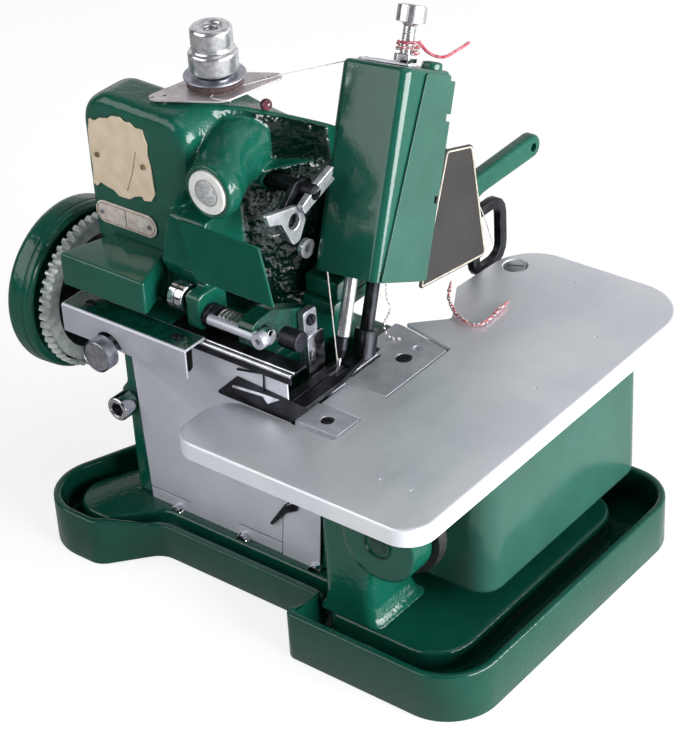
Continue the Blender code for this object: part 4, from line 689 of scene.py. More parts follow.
def grown(mesh, maker, material, values):
    """A bmesh of what a geometry-nodes group makes from a mesh, its inputs set by their identifiers."""
    if maker not in MADE:
        MADE[maker] = maker()
    obj = bpy.data.objects.new("growing", mesh)
    bpy.context.collection.objects.link(obj)
    modifier = obj.modifiers.new("grow", "NODES")
    modifier.node_group = MADE[maker]
    values = {**values, "Finish": finish(material)}
    for item in MADE[maker].interface.items_tree:
        if item.in_out == "INPUT" and item.name in values:
            modifier[item.identifier] = values[item.name]
    done = evaluated(obj)
    bpy.data.objects.remove(obj)
    bm = bmesh.new()
    bm.from_mesh(done)
    bpy.data.meshes.remove(done)
    return bm


def slotted_heads():
    """A slotted round head on every point, its top along the point's 'aim' and turned by its 'spin'."""
    group, given = new_group("slotted_heads", {"Radius": 0.0025, "Height": 0.001, "Slot": 0.0007})
    radius, height = given["Radius"], given["Height"]
    narrow, dome, half, wide, above = (
        node(group, "ShaderNodeMath", {0: given[key], 1: share}, operation="MULTIPLY") for key, share in
        (("Radius", 0.82), ("Height", 0.35), ("Height", 0.5), ("Radius", 3.0), ("Height", 0.8)))
    disc = node(group, "GeometryNodeMeshCylinder", {"Vertices": 28, "Radius": radius, "Depth": height})
    crown = node(group, "GeometryNodeMeshCone", {"Vertices": 28, "Radius Bottom": radius, "Radius Top": narrow,
                                                 "Depth": dome})
    lift = node(group, "ShaderNodeCombineXYZ", {"Z": half})
    crown = node(group, "GeometryNodeTransform", {"Geometry": crown, "Translation": lift})
    head = node(group, "GeometryNodeMeshBoolean", {"Mesh 2": disc}, operation="UNION", solver="EXACT")
    group.links.new(crown.outputs[0], head.inputs["Mesh 2"])
    size = node(group, "ShaderNodeCombineXYZ", {"X": wide, "Y": given["Slot"], "Z": height})
    raised = node(group, "ShaderNodeCombineXYZ", {"Z": above})
    blade = node(group, "GeometryNodeTransform",
                 {"Geometry": node(group, "GeometryNodeMeshCube", {"Size": size}), "Translation": raised})
    slotted = node(group, "GeometryNodeMeshBoolean", {"Mesh 1": head, "Mesh 2": blade}, operation="DIFFERENCE",
                   solver="EXACT")
    aim = node(group, "GeometryNodeInputNamedAttribute", {"Name": "aim"}, data_type="FLOAT_VECTOR")
    spin = node(group, "GeometryNodeInputNamedAttribute", {"Name": "spin"}, data_type="FLOAT")
    face = node(group, "FunctionNodeAlignRotationToVector", {"Vector": aim.outputs["Attribute"]}, axis="Z")
    about = node(group, "ShaderNodeCombineXYZ", {"Z": spin.outputs["Attribute"]})
    turn = node(group, "FunctionNodeRotateRotation",
                {"Rotation": face, "Rotate By": node(group, "FunctionNodeEulerToRotation", {"Euler": about})},
                rotation_space="LOCAL")
    heads = node(group, "GeometryNodeInstanceOnPoints", {"Points": given["Geometry"], "Instance": slotted,
                                                         "Rotation": turn})
    return closed_group(group, given, heads)


def fasteners(name, places, radius, height, material, slot, body="body", slot_width=0.0007):
    """Slotted heads at places (x, y, z, aim, spin) as one piece."""
    mesh = bpy.data.meshes.new(name)
    mesh.from_pydata([place[:3] for place in places], [], [])
    aims = [value for place in places for value in place[3]]
    mesh.attributes.new("aim", "FLOAT_VECTOR", "POINT").data.foreach_set("vector", aims)
    mesh.attributes.new("spin", "FLOAT", "POINT").data.foreach_set("value", [place[4] for place in places])
    bm = grown(mesh, slotted_heads, material, {"Radius": radius, "Height": height, "Slot": slot_width})
    return shown(name, bm, material, slot, body, smooth=30)


def ring_of_teeth():
    """Blunt wedge teeth round a ring about Z, standing between z 0 and the width."""
    group, given = new_group("ring_of_teeth", {"Teeth": 54, "Radius": 0.04, "Depth": 0.002, "Width": 0.006,
                                               "Base": 0.004})
    tooth = node(group, "GeometryNodeMeshCone", {"Vertices": 4, "Radius Top": 0.0008,
                                                 "Radius Bottom": given["Base"], "Depth": given["Depth"]})
    square = node(group, "GeometryNodeTransform", {"Geometry": tooth, "Rotation": (0, 0, math.pi / 4)})
    lay = node(group, "GeometryNodeTransform", {"Geometry": square, "Rotation": (0, math.pi / 2, 0)})
    ratio = node(group, "ShaderNodeMath", {0: given["Width"], 1: given["Base"]}, operation="DIVIDE")
    share = node(group, "ShaderNodeMath", {0: ratio, 1: 0.7071}, operation="MULTIPLY")
    stretch = node(group, "ShaderNodeCombineXYZ", {"X": 1.0, "Y": 1.0, "Z": share})
    wide = node(group, "GeometryNodeTransform", {"Geometry": lay, "Scale": stretch})
    ring = node(group, "GeometryNodeMeshCircle", {"Vertices": given["Teeth"], "Radius": given["Radius"]})
    place = node(group, "GeometryNodeInputPosition")
    aim = node(group, "FunctionNodeAlignRotationToVector", {"Vector": place}, axis="X", pivot_axis="Z")
    teeth = node(group, "GeometryNodeInstanceOnPoints", {"Points": ring, "Instance": wide, "Rotation": aim})
    half = node(group, "ShaderNodeMath", {0: given["Width"], 1: 0.5}, operation="MULTIPLY")
    up = node(group, "ShaderNodeCombineXYZ", {"Z": half})
    return closed_group(group, given,
                        node(group, "GeometryNodeTransform", {"Geometry": teeth, "Translation": up}))


def wire_spring():
    """A wire spring along Z from zero to its length."""
    group, given = new_group("wire_spring", {"Turns": 6.0, "Radius": 0.005, "Length": 0.02, "Wire": 0.0006})
    spiral = node(group, "GeometryNodeCurveSpiral", {"Resolution": 28, "Rotations": given["Turns"],
                                                     "Start Radius": given["Radius"],
                                                     "End Radius": given["Radius"], "Height": given["Length"]})
    wire = node(group, "GeometryNodeCurvePrimitiveCircle", {"Resolution": 10, "Radius": given["Wire"]})
    tube = node(group, "GeometryNodeCurveToMesh", {"Curve": spiral, "Profile Curve": wire, "Fill Caps": True})
    return closed_group(group, given, tube)


def stitch_chain():
    """Small thread loops strung along a path, each turned about it at random."""
    group, given = new_group("stitch_chain", {"Pitch": 0.0026, "Loop": 0.0014, "Thread": 0.0003, "Seed": 3})
    path = node(group, "GeometryNodeMeshToCurve", {"Mesh": given["Geometry"]})
    points = node(group, "GeometryNodeCurveToPoints", {"Curve": path, "Length": given["Pitch"]}, mode="LENGTH")
    circle = node(group, "GeometryNodeCurvePrimitiveCircle", {"Resolution": 9, "Radius": given["Loop"]})
    wire = node(group, "GeometryNodeCurvePrimitiveCircle", {"Resolution": 5, "Radius": given["Thread"]})
    tube = node(group, "GeometryNodeCurveToMesh", {"Curve": circle, "Profile Curve": wire})
    long = node(group, "GeometryNodeTransform", {"Geometry": tube, "Scale": (0.75, 1.0, 1.45),
                                                 "Rotation": (math.pi / 2, 0, 0)})
    spin = node(group, "FunctionNodeRandomValue", {"Seed": given["Seed"], "Min": (-0.5, -0.5, 0.0),
                                                   "Max": (0.5, 0.5, 6.28)}, data_type="FLOAT_VECTOR")
    turn = node(group, "FunctionNodeRotateRotation",
                {"Rotation": points.outputs["Rotation"],
                 "Rotate By": node(group, "FunctionNodeEulerToRotation", {"Euler": spin.outputs["Value"]})},
                rotation_space="LOCAL")
    loops = node(group, "GeometryNodeInstanceOnPoints", {"Points": points, "Instance": long, "Rotation": turn})
    return closed_group(group, given, loops)


def spring(turns, radius, length, wire, material):
    return grown(bpy.data.meshes.new("spring_seed"), wire_spring, material,
                 {"Turns": float(turns), "Radius": radius, "Length": length, "Wire": wire})


def teeth(count, radius, depth, width, base, material):
    return grown(bpy.data.meshes.new("teeth_seed"), ring_of_teeth, material,
                 {"Teeth": count, "Radius": radius, "Depth": depth, "Width": width, "Base": base})


def chain(path, loop, material, seed):
    mesh = bpy.data.meshes.new("chain_seed")
    mesh.from_pydata([tuple(point) for point in path], [(i, i + 1) for i in range(len(path) - 1)], [])
    return grown(mesh, stitch_chain, material,
                 {"Pitch": sizes().chain_pitch, "Loop": loop, "Thread": CHAIN_THREAD, "Seed": seed})


# ---------------------------------------------------------------- base
def tray_corners():
    return [
        (0.046, TRAY_FRONT, 0.005), (0.15, TRAY_FRONT, 0.028), (0.15, 0.08, 0.026), (-0.104, 0.08, 0.026),
        (-0.104, -0.036, 0.03), (-0.134, -0.113, 0.027), (-0.078, -0.113, 0.012), (-0.056, -0.0875, 0.014),
        (0.046, -0.0875, 0.003),
    ]


def cast_skin(bm, voxel, blur=8, ratio=0.42):
    """One rounded cast skin over solids that run into each other."""
    mesh = bpy.data.meshes.new("cast_seed")
    bm.to_mesh(mesh)
    bm.free()
    obj = bpy.data.objects.new("cast_seed", mesh)
    bpy.context.collection.objects.link(obj)
    skin = obj.modifiers.new("skin", "REMESH")
    skin.mode = "VOXEL"
    skin.voxel_size = voxel
    soften = obj.modifiers.new("blur", "SMOOTH")
    soften.factor = 0.5
    soften.iterations = blur
    thin = obj.modifiers.new("thin", "DECIMATE")
    thin.ratio = ratio
    done = evaluated(obj)
    bpy.data.objects.remove(obj)
    bpy.data.meshes.remove(mesh)
    result = bmesh.new()
    result.from_mesh(done)
    bpy.data.meshes.remove(done)
    return result


class OVERLOCK_OT_base(bpy.types.Operator):
    """Base tray with its moat and platform"""
    bl_idname = "overlock.base"
    bl_label = "Base tray"

    def execute(self, context):
        lip, floor, top = TRAY_HIGH.z, 0.007, 0.02
        levels = [(0.001, 0.0), (0.0003, 0.0003), (0.0, 0.001)]
        levels += fillet(0.0014, lip - 0.0014, 0.0014, 180, 90) + fillet(0.0026, lip - 0.0014, 0.0014, 90, 0)
        levels += fillet(0.0065, floor + 0.0025, 0.0025, 180, 270)
        tray = stepped(tray_corners(), levels, 14)
        # the wall is lower where the tray steps back in front of the machine
        kept = floor + 0.004
        for vert in tray.verts:
            if -0.072 < vert.co.x < 0.05 and -0.1 < vert.co.y < -0.07 and vert.co.z > kept:
                vert.co.z = kept + (vert.co.z - kept) * 0.55
        front = -0.0767
        platform = [
            (0.056, -0.095, 0.008), (0.128, -0.095, 0.022), (0.128, 0.058, 0.02), (-0.091, 0.058, 0.018),
            (-0.091, -0.04, 0.026), (-0.12, -0.099, 0.017), (-0.083, -0.099, 0.01), (-0.062, front, 0.01),
            (0.056, front, 0.005),
        ]
        rise = [(-0.0022, floor - 0.0005), (0.0, floor + 0.0022)]
        rise += fillet(0.002, top - 0.002, 0.002, 180, 90, 4)
        # the tray wears the machine enamel darkened as painted shade
        remade("base_tray", merged(tray, stepped(platform, rise, 12)), "tray_shaded_enamel", "green_enamel")
        return {"FINISHED"}


class OVERLOCK_OT_leg(bpy.types.Operator):
    """Leg with its bearing boss, the black ring behind the boss and its plug, and the deep box cover under the
    cloth plate
    """
    bl_idname = "overlock.leg"
    bl_label = "Leg and box cover"

    def execute(self, context):
        left, right, front, back = 0.055, 0.084, -0.094, -0.058
        boss_x, boss_z, boss_r, boss_front = 0.091, 0.0735, 0.0205, -0.095
        rings = []
        for z, out in ((0.0203, 0.0045), (0.0215, 0.003), (0.024, 0.0013), (0.0293, 0.0), (0.0942, 0.0)):
            corners = box_corners(left - out, right + out, front - out * 0.2, back + out, 0.006)
            rings.append([(x, y, z) for x, y in rounded(corners, 6)])
        boss = put(rod(boss_r, 0.0, 0.015, 0.0012, 96), (boss_x, boss_front, boss_z), "Y")
        neck = put(rod(0.0125, 0.0, 0.033, 0.0005, 48), (boss_x, boss_front + 0.001, boss_z), "Y")
        leg = cast_skin(merged(loft(rings), boss, neck), 0.0007, 5, 0.35)
        remade("front_leg", leg, "cast_enamel", "green_enamel", smooth=180)
        # plug screw in the boss, in a turned ring
        plug = lathe([(0, 0.0004), (0.005, 0.0004), (0.0052, 0.0016), (0.0062, 0.0016), (0.0066, -0.0004),
                      (0.0074, -0.0006), (0.0074, 0.004), (0, 0.004)], 0.0003, 48)
        slot = box(-0.006, 0.006, -0.0005, 0.0005, -0.002, 0.0014)
        put(plug, (boss_x, boss_front - 0.0006, boss_z), "Y")
        put(slot, (boss_x, boss_front - 0.0006, boss_z), "Y")
        shown("boss_plug", carve(plug, slot), "oiled_and_shaded_enamel", "green_enamel", smooth=30)
        # black ring behind the boss, on the dark band round the boss's neck
        carried("leg_seal", "black_rubber", "black_rubber")
        shaft = put(rod(0.0075, 0.0, 0.085, 0.0005, 48), (boss_x, boss_front + 0.009, boss_z), "Y")
        remade("feed_shaft", shaft, "ground_steel", "ground_steel")
        carried("plate_bracket", "cast_enamel", "green_enamel", 0.0008)
        corners = [(0.06, -0.055, 0.002), (0.124, -0.055, 0.013), (0.124, 0.08, 0.012), (0.06, 0.08, 0.002)]
        cover = pressed(corners, 0.028, 0.0935, 0.0012, 0.0045, [1, 1, 1, 0], segments=14, steps=7)
        inner = offset_corners(corners, [0.0016, 0.0016, 0.0016, -0.01])
        hollow = prism(rounded(inner, 10), 0.031, 0.0919)
        hole = put(rod(0.0085, -0.02, 0.02, 0.0, 32), (boss_x, -0.055, boss_z), "Y")
        remade("side_cover", carve(cover, hollow, hole), "box_enamel", "green_sheet")
        return {"FINISHED"}


# ---------------------------------------------------------------- main casting
def arm_section(x, y0, y1, z0, z1, fall, radius=0.006, segments=8):
    """Section of the arm at one x, whose top falls off to the back."""
    corners = [(y0, z0, radius), (y1, z0, radius), (y1, z1 - fall, radius), (y0, z1, radius / 2)]
    return [Vector((x, y, z)) for y, z in rounded(corners, segments)]


def smooth_loft(sections, per=6):
    """Sections joined by smooth curves instead of straight lines."""
    lines = [curve_through(line, per) for line in zip(*sections)]
    return loft([[tuple(p) for p in ring] for ring in zip(*lines)])


def head_room(gap=0.0003):
    """The space that the head stands in."""
    return on_head(box(-HEAD_W - gap, 0.06, -0.06, HEAD_D + gap, -0.05, HEAD_H + 0.05))


class OVERLOCK_OT_casting(bpy.types.Operator):
    """Main casting: lower body, left block with its shoulder, arm and window hump, as one cast skin"""
    bl_idname = "overlock.casting"
    bl_label = "Main casting"

    def execute(self, context):
        block = [(-0.1125, 0.152, 0.007), (-0.056, 0.152, 0.007), (-0.054, 0.186, 0.012),
                 (-0.046, 0.198, 0.007), (-0.043, 0.234, 0.014), (-0.1125, 0.236, 0.017)]
        body = pressed(block, -0.0545, -0.026, 0.0065, 0.006, segments=14, steps=8)
        bmesh.ops.transform(body, matrix=Matrix(((1, 0, 0, 0), (0, 0, 1, 0), (0, 1, 0, 0), (0, 0, 0, 1))),
                            verts=body.verts)
        bmesh.ops.recalc_face_normals(body, faces=body.faces)
        sections = [
            arm_section(-0.056, -0.0445, -0.004, 0.194, 0.2345, 0.0015),
            arm_section(-0.043, -0.023, 0.005, 0.192, 0.231, 0.01),
            arm_section(-0.028, -0.006, 0.016, 0.188, 0.2255, 0.016),
            arm_section(-0.008, 0.007, 0.04, 0.176, 0.219, 0.022),
            arm_section(0.006, 0.02, 0.056, 0.164, 0.212, 0.023),
            arm_section(0.018, 0.024, 0.06, 0.152, 0.204, 0.023),
        ]
        arm = carve(smooth_loft(sections), head_room())
        hump = [(-0.053, -0.029, 0.205, 0.0135), (-0.044, -0.033, 0.207, 0.0155),
                (-0.031, -0.04, 0.209, 0.0165), (-0.011, -0.045, 0.208, 0.0165)]
        rings = [[Vector((x + dx, y, z + dz)) for dx, dz in ring_points(r, 48)] for y, x, z, r in hump]
        strip = box(-0.09, -0.074, -0.066, -0.03, 0.015, 0.1)
        cast = merged(copied("machine_frame"), body, arm, smooth_loft(rings, 5), strip)
        ledges = [pressed(box_corners(-0.0135, 0.0069, y, 0.02, 0.0012), z0, z1, 0.001, 0.0004, segments=2,
                          steps=3) for y, z0, z1 in ((-0.012, 0.134, 0.1436), (-0.015, 0.1267, 0.1331))]
        shown("arm_ledges", merged(*ledges), "sheet_enamel", "green_enamel")
        remade("machine_frame", cast_skin(cast, sizes().cast_voxel), "rough_enamel", "green_enamel", smooth=180)
        return {"FINISHED"}


# ---------------------------------------------------------------- handwheel
class OVERLOCK_OT_wheel(bpy.types.Operator):
    """Handwheel with its toothed ring, shaft and bush"""
    bl_idname = "overlock.wheel"
    bl_label = "Handwheel"

    def execute(self, context):
        steps, at, ring_at = sizes().wheel_steps, (0, SHAFT_Y, SHAFT_Z), (RING_LEFT, SHAFT_Y, SHAFT_Z)
        left, r = WHEEL_LOW.x, WHEEL_R
        right, web = left + 0.0165, left + 0.006
        # rim with a groove near its inner edge, web and hub
        profile = [
            (0.0063, left + 0.001), (0.013, left + 0.001), (0.015, web), (r - 0.0075, web),
            (r - 0.006, left + 0.001), (r - 0.0035, left), (r - 0.001, left + 0.0015),
            (r, left + 0.004), (r - 0.0004, right - 0.0052), (r - 0.001, right - 0.0048),
            (r - 0.001, right - 0.004), (r - 0.0005, right - 0.0036), (r - 0.0008, right - 0.0014),
            (r - 0.0022, right), (r - 0.005, right), (r - 0.0062, web + 0.0045), (0.015, web + 0.0045),
            (0.015, RING_LEFT - 0.0003), (0.0063, RING_LEFT - 0.0003),
        ]
        wheel = put(lathe(profile, 0.0012, steps, ring=True), at, "X")
        remade("handwheel", wheel, "cast_enamel", "green_enamel", smooth=40)
        outer, deep, width = 0.0405, 0.0024, 0.006
        disc = lathe([(outer - 0.009, 0.0), (outer - deep, 0.0), (outer - deep, width), (outer - 0.009, width)],
                     0.0003, steps, 2, ring=True)
        web = lathe([(0.0063, 0.0), (outer - 0.0091, 0.0), (outer - 0.0091, 0.0034), (0.0063, 0.0034)], 0.0003,
                    steps, 2, ring=True)
        shown("ring_web", put(web, ring_at, "X"), "blued_steel", "ground_steel", "wheel")
        rim = teeth(sizes().ring_teeth, outer - deep / 2, deep, width, 0.0017, "worn_zinc")
        ring = put(merged(disc, rim), ring_at, "X")
        remade("toothed_ring", ring, "worn_zinc", "ground_steel", smooth=30)
        shaft = put(rod(0.006, left + 0.0005, -0.03, 0.0008), at, "X")
        remade("main_shaft", shaft, "ground_steel", "ground_steel")
        carried("shaft_bush", "turned_brass", "turned_brass")
        return {"FINISHED"}


# ---------------------------------------------------------------- plates
class OVERLOCK_OT_plates(bpy.types.Operator):
    """Cloth plate, its pivot screw, and the plates round the needle with their screws"""
    bl_idname = "overlock.plates"
    bl_label = "Plates"

    def execute(self, context):
        sheet, bare, low = 0.0018, -0.001, PLATE_TOP - 0.0095
        left, right, front, back = -0.0185, 0.127, -0.1135, 0.1275
        table = [
            (left, front, 0.015, sheet), (right, front, 0.015, sheet), (right, back, 0.03, sheet),
            (0.02, back, 0.026, sheet), (0.016, 0.073, 0.004, bare), (0.033, 0.045, 0.003, bare),
            (0.016, 0.0285, 0.001, bare), (0.0494, 0.0215, 0.001, bare), (0.0494, -0.031, 0.0005, bare),
            (0.026, -0.0322, 0.0005, bare), (0.026, -0.052, 0.0005, bare), (0.0505, -0.052, 0.001, bare),
            (0.0505, -0.0735, 0.001, bare), (left, -0.0735, 0.015, sheet),
        ]
        corners = [row[:3] for row in table]
        rims = [row[3] for row in table]
        shares = [1.0 if rim > 0 else 0.12 for rim in rims]
        plate = pressed(corners, low, PLATE_TOP, 0.002, 0.0, shares, segments=14, steps=7)
        hollow = prism(rounded(offset_corners(corners, rims), 12), low - 0.01, PLATE_TOP - sheet)
        pivot = (0.03, 0.106)
        hole = put(turned([(0, -0.02), (0.0062, -0.02), (0.0062, -0.0008), (0.007, 0.0001), (0.007, 0.01),
                           (0, 0.01)], 48), (*pivot, PLATE_TOP))
        dent = [(0, -0.0004), (0.0007, -0.00025), (0.0012, 0.0001), (0, 0.0003)]
        dimples = [put(turned(dent, 16), (x, y, PLATE_TOP)) for x, y in
                   ((0.088, -0.086), (0.105, -0.0855), (0.065, 0.1075), (0.103, 0.07), (0.104, 0.015))]
        remade("cloth_plate", carve(plate, hollow, hole, *dimples), "plate_steel", "brushed_sheet")
        screw = lathe([(0, -0.01), (0.004, -0.01), (0.004, -0.0018), (0.0059, -0.0018), (0.0059, -0.0002),
                       (0, 0.0001)], 0.0003, 48)
        slot = put(box(-0.0045, 0.0045, -0.0005, 0.0005, -0.001, 0.001),
                   matrix=Matrix.Rotation(math.radians(25), 4, "Z"))
        remade("pivot_screw", put(carve(screw, slot), (*pivot, PLATE_TOP)), "ground_steel", "ground_steel")

        bottom = PLATE_TOP - 0.0035
        needle = [(0.012, -0.042, 0.001), (0.025, -0.042, 0.001), (0.025, -0.0317, 0.001),
                  (0.0486, -0.0304, 0.001), (0.0486, 0.0196, 0.001), (0.0165, 0.0262, 0.001),
                  (0.012, 0.0262, 0.001)]
        slots = [box(x0, x1, y0, y1, bottom - 0.01, PLATE_TOP + 0.01, 0.001)
                 for x0, x1, y0, y1 in ((0.0145, 0.0205, -0.035, 0.0025), (0.0222, 0.0244, -0.026, -0.002))]
        seats = [put(rod(r, -0.0022, 0.001, 0.0, 32), (x, y, PLATE_TOP)) for x, y, r in
                 ((0.035, 0.002, 0.0042), (0.0355, 0.013, 0.0024))]
        plain = prism(rounded(needle, 4), bottom, PLATE_TOP)
        remade("needle_plate", carve(plain, *slots, *seats), "lapped_steel", "ground_steel", edge=0.0003,
               sharp=60)
        slide = box(0.0242, 0.0498, -0.0702, -0.0525, bottom, PLATE_TOP, 0.0008)
        seat = put(rod(0.0034, -0.0022, 0.001, 0.0, 32), (0.0376, -0.0619, PLATE_TOP))
        remade("slide_plate", carve(slide, seat), "lapped_steel", "ground_steel", edge=0.0003, sharp=60)
        fasteners("needle_plate_screw", [(0.035, 0.002, PLATE_TOP - 0.001, UP, 0.9)], 0.0038, 0.0012,
                  "blued_steel", "blued_steel", slot_width=0.0009)
        fasteners("slide_plate_screw", [(0.0376, -0.0619, PLATE_TOP - 0.001, UP, 0.3)], 0.003, 0.0012,
                  "blued_steel", "blued_steel")
        carried("feed_dog", "ground_steel", "ground_steel", 0.0001)
        carried("lower_knife", "nickel_chrome", "chrome_plate")
        return {"FINISHED"}


# ---------------------------------------------------------------- sheets on the front
class OVERLOCK_OT_front(bpy.types.Operator):
    """Steel covers, rails, knob and screws on the machine's front"""
    bl_idname = "overlock.front"
    bl_label = "Front sheets"

    def execute(self, context):
        steel = "brushed_steel"
        face, back = -0.0716, -0.0707
        outline = [(-0.075, 0.0135, 0.001), (0.01, 0.0135, 0.001), (0.0138, 0.05, 0.001),
                   (0.0225, 0.059, 0.001), (0.0225, 0.1275, 0.001), (-0.037, 0.1268, 0.001),
                   (-0.0375, 0.1125, 0.003), (-0.04, 0.1088, 0.0015), (-0.0485, 0.1064, 0.0005),
                   (-0.079, 0.1064, 0.002)]
        sheet = front_prism(rounded(outline, 6), face, back)
        # its upper left edge bends out to the rail
        out = [(0.0, 0.0), (0.0012, 0.0022), (0.0032, 0.0045), (0.0134, 0.0112)]
        flange = loft([[(x, face - y, 0.1052 + z) for y, z in out]
                       + [(x, back - y, 0.1056 + z) for y, z in out[::-1]] for x in (-0.0772, -0.0478)])
        folds = [front_prism(box_points(x - 0.0145, x + 0.0145, 0.0262, 0.027), -0.08, -0.06)
                 for x in (-0.0635, -0.002)]
        cover = carve(carve(sheet, flange, operation="UNION"), *folds)
        remade("front_cover", cover, steel, "brushed_sheet", edge=0.00025, sharp=60)
        # dark plate behind the cover's cut-out: painted shade where the hole shows the shaded frame
        pocket_shade = front_prism(box_points(-0.052, -0.033, 0.103, 0.131), -0.0702, -0.0694)
        shown("cover_pocket_shade", pocket_shade, "blued_steel", "blued_steel", edge=0.0002)
        low = [(0.0108, 0.0135, 0.0005), (0.0345, 0.0135, 0.0005), (0.0385, 0.06, 0.001), (0.025, 0.06, 0.001),
               (0.0146, 0.05, 0.001)]
        remade("lower_cover", front_prism(rounded(low, 4), -0.0722, -0.0713), steel, "brushed_sheet",
               edge=0.0003)
        # slanted dark plate under the bed, painted shade of the recess behind the cover, with the stitch
        # tongue's bright strip in it
        window = [(-0.0232, 0.1034, 0.001), (0.0236, 0.1028, 0.001), (0.036, 0.1148, 0.001),
                  (-0.0084, 0.1179, 0.001)]
        shown("cover_window_shade", front_prism(rounded(window, 4), -0.072, -0.0717), "blued_steel", "blued_steel",
              edge=0.00008)
        strip = front_prism([(-0.0122, 0.1104), (0.0073, 0.1121), (0.0101, 0.1088), (0.018, 0.114),
                             (0.0081, 0.1138), (-0.0114, 0.1121)], -0.0725, -0.072)
        shown("stitch_strip", strip, "bright_steel", "brushed_sheet", edge=0.00015)
        hook = sweep([(x, -0.0722, z) for x, z in ((-0.0078, 0.1222), (0.0088, 0.1255), (0.0082, 0.1149))],
                     0.0006)
        catch = front_prism([(0.0056, 0.0373), (0.0074, 0.0369), (0.0173, 0.0482), (0.0239, 0.0521),
                             (0.0249, 0.0574), (0.015, 0.0509)], -0.0735, -0.0722)
        shown("cover_catches", merged(hook, catch), "blued_steel", "blued_steel", edge=0.0002)
        carried("front_rail", "rail_steel", "brushed_sheet", 0.0003)
        # dark green slab on the rail's top: a painted reflection of the green enamel above it
        low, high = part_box("front_rail")
        reflection_slab = box(low.x + 0.0008, high.x - 0.0008, low.y - SETBACK + 0.0014, high.y - SETBACK - 0.0006,
                    high.z - 0.0002, high.z + 0.0002, 0.0008)
        shown("rail_top_reflection", reflection_slab, "oiled_and_shaded_enamel", "green_sheet", edge=0.00008)
        # bed: a shelf with a rounded fold along its front and a short flange
        top, gauge = 0.1332, 0.0012
        fold = [(-0.0753 - gauge * math.cos(a), top - gauge + gauge * math.sin(a))
                for a in (math.pi / 2 * k / 6 for k in range(7))]
        bed = ([(-0.0753, top - 0.005), (-0.0753, top - gauge), (-0.05, top - gauge), (-0.05, top)]
               + fold[::-1] + [(-0.0765, top - 0.005)])
        corner = box(0.002, 0.039, -0.064, -0.04, top - 0.02, top + 0.01)
        remade("knife_bed", carve(side_prism(bed, -0.0485, 0.029), corner), "blued_steel", "ground_steel",
               edge=0.0002, sharp=60)
        # two bright wires along the fold: a painted highlight on the bed's edge
        lines = [sweep([(-0.0485, y, z), (0.029, y, z)], r, 10) for y, z, r in
                 ((-0.0762, top - 0.0002, 0.001), (-0.0735, top + 0.0002, 0.0006))]
        shown("bed_edge_highlight", merged(*lines), "bright_steel", "ground_steel")
        # satin link rod with a ring end, and the short cylinder beside it
        link = put(rod(0.0026, 0.0, 0.029, 0.0005, 32), (-0.0257, -0.069, 0.1425), "X")
        eye = put(lathe([(0.0016, -0.0026), (0.004, -0.0026), (0.004, 0.0026), (0.0016, 0.0026)], 0.0004, 40, 2,
                        ring=True), (0.006, -0.069, 0.1415), "Y")
        shown("guide_rod", merged(link, eye), "rail_steel", "ground_steel")
        stub = put(rod(0.0052, 0.0, 0.011, 0.0008, 40), (0.0125, -0.06, 0.1415), "X")
        shown("guide_stub", stub, "blued_steel", "ground_steel")
        face = -0.072
        fasteners("cover_screws", [(-0.0572, face, 0.0185, AHEAD, 0.7), (-0.0129, face, 0.019, AHEAD, 1.9)],
                  0.0041, 0.0038, "nickel_chrome", "blued_steel", slot_width=0.0012)
        fasteners("lower_cover_screws", [(0.0328, face, 0.02, AHEAD, 0.4)], 0.0037, 0.0038, "nickel_chrome",
                  "blued_steel", slot_width=0.0012)
        fasteners("rail_screws", [(-0.093, -0.0815, 0.1353, UP, 0.5), (-0.036, -0.0815, 0.1353, UP, 2.1)],
                  0.0026, 0.0012, "blued_steel", "blued_steel")
        # knurled knob that holds the cover
        at = (-0.076, -0.098, 0.119)
        knob = lathe([(0, 0.0002), (0.004, 0.0), (0.0074, 0.0), (0.008, 0.0006), (0.008, 0.006),
                      (0.0074, 0.0066), (0.003, 0.0066), (0.003, 0.0174), (0, 0.0174)], 0.0004, 64)
        knurl = put(teeth(44, 0.00805, 0.0004, 0.0044, 0.0005, "knurled_steel"), (0, 0, 0.0011))
        remade("cover_knob", put(merged(knob, knurl), at, "Y"), "knurled_steel", "brushed_sheet", smooth=30)
        stud = lathe([(0, 0.0052), (0.0044, 0.0052), (0.0044, 0.0), (0.0058, 0.0), (0.0065, 0.0006),
                      (0.0065, 0.0095), (0.0042, 0.0095), (0.0042, 0.023), (0, 0.023)], 0.0003, 48)
        key = [(0.0041 * math.cos(a), 0.0041 * math.sin(a)) for a in (math.tau * i / 6 for i in range(6))]
        sleeve = carve(prism(ring_points(0.0046, 48), 0.0004, 0.005), prism(key, -0.01, 0.0046))
        # dark disc at the bottom of the hex socket: painted shade
        dark = put(rod(0.004, 0.0043, 0.0049, 0.0, 24), SOCKET, "Y")
        shown("socket_shade_disc", dark, "blued_steel", "blued_steel")
        remade("socket_screw", put(merged(stud, sleeve), SOCKET, "Y"), "nickel_chrome", "chrome_plate")
        return {"FINISHED"}


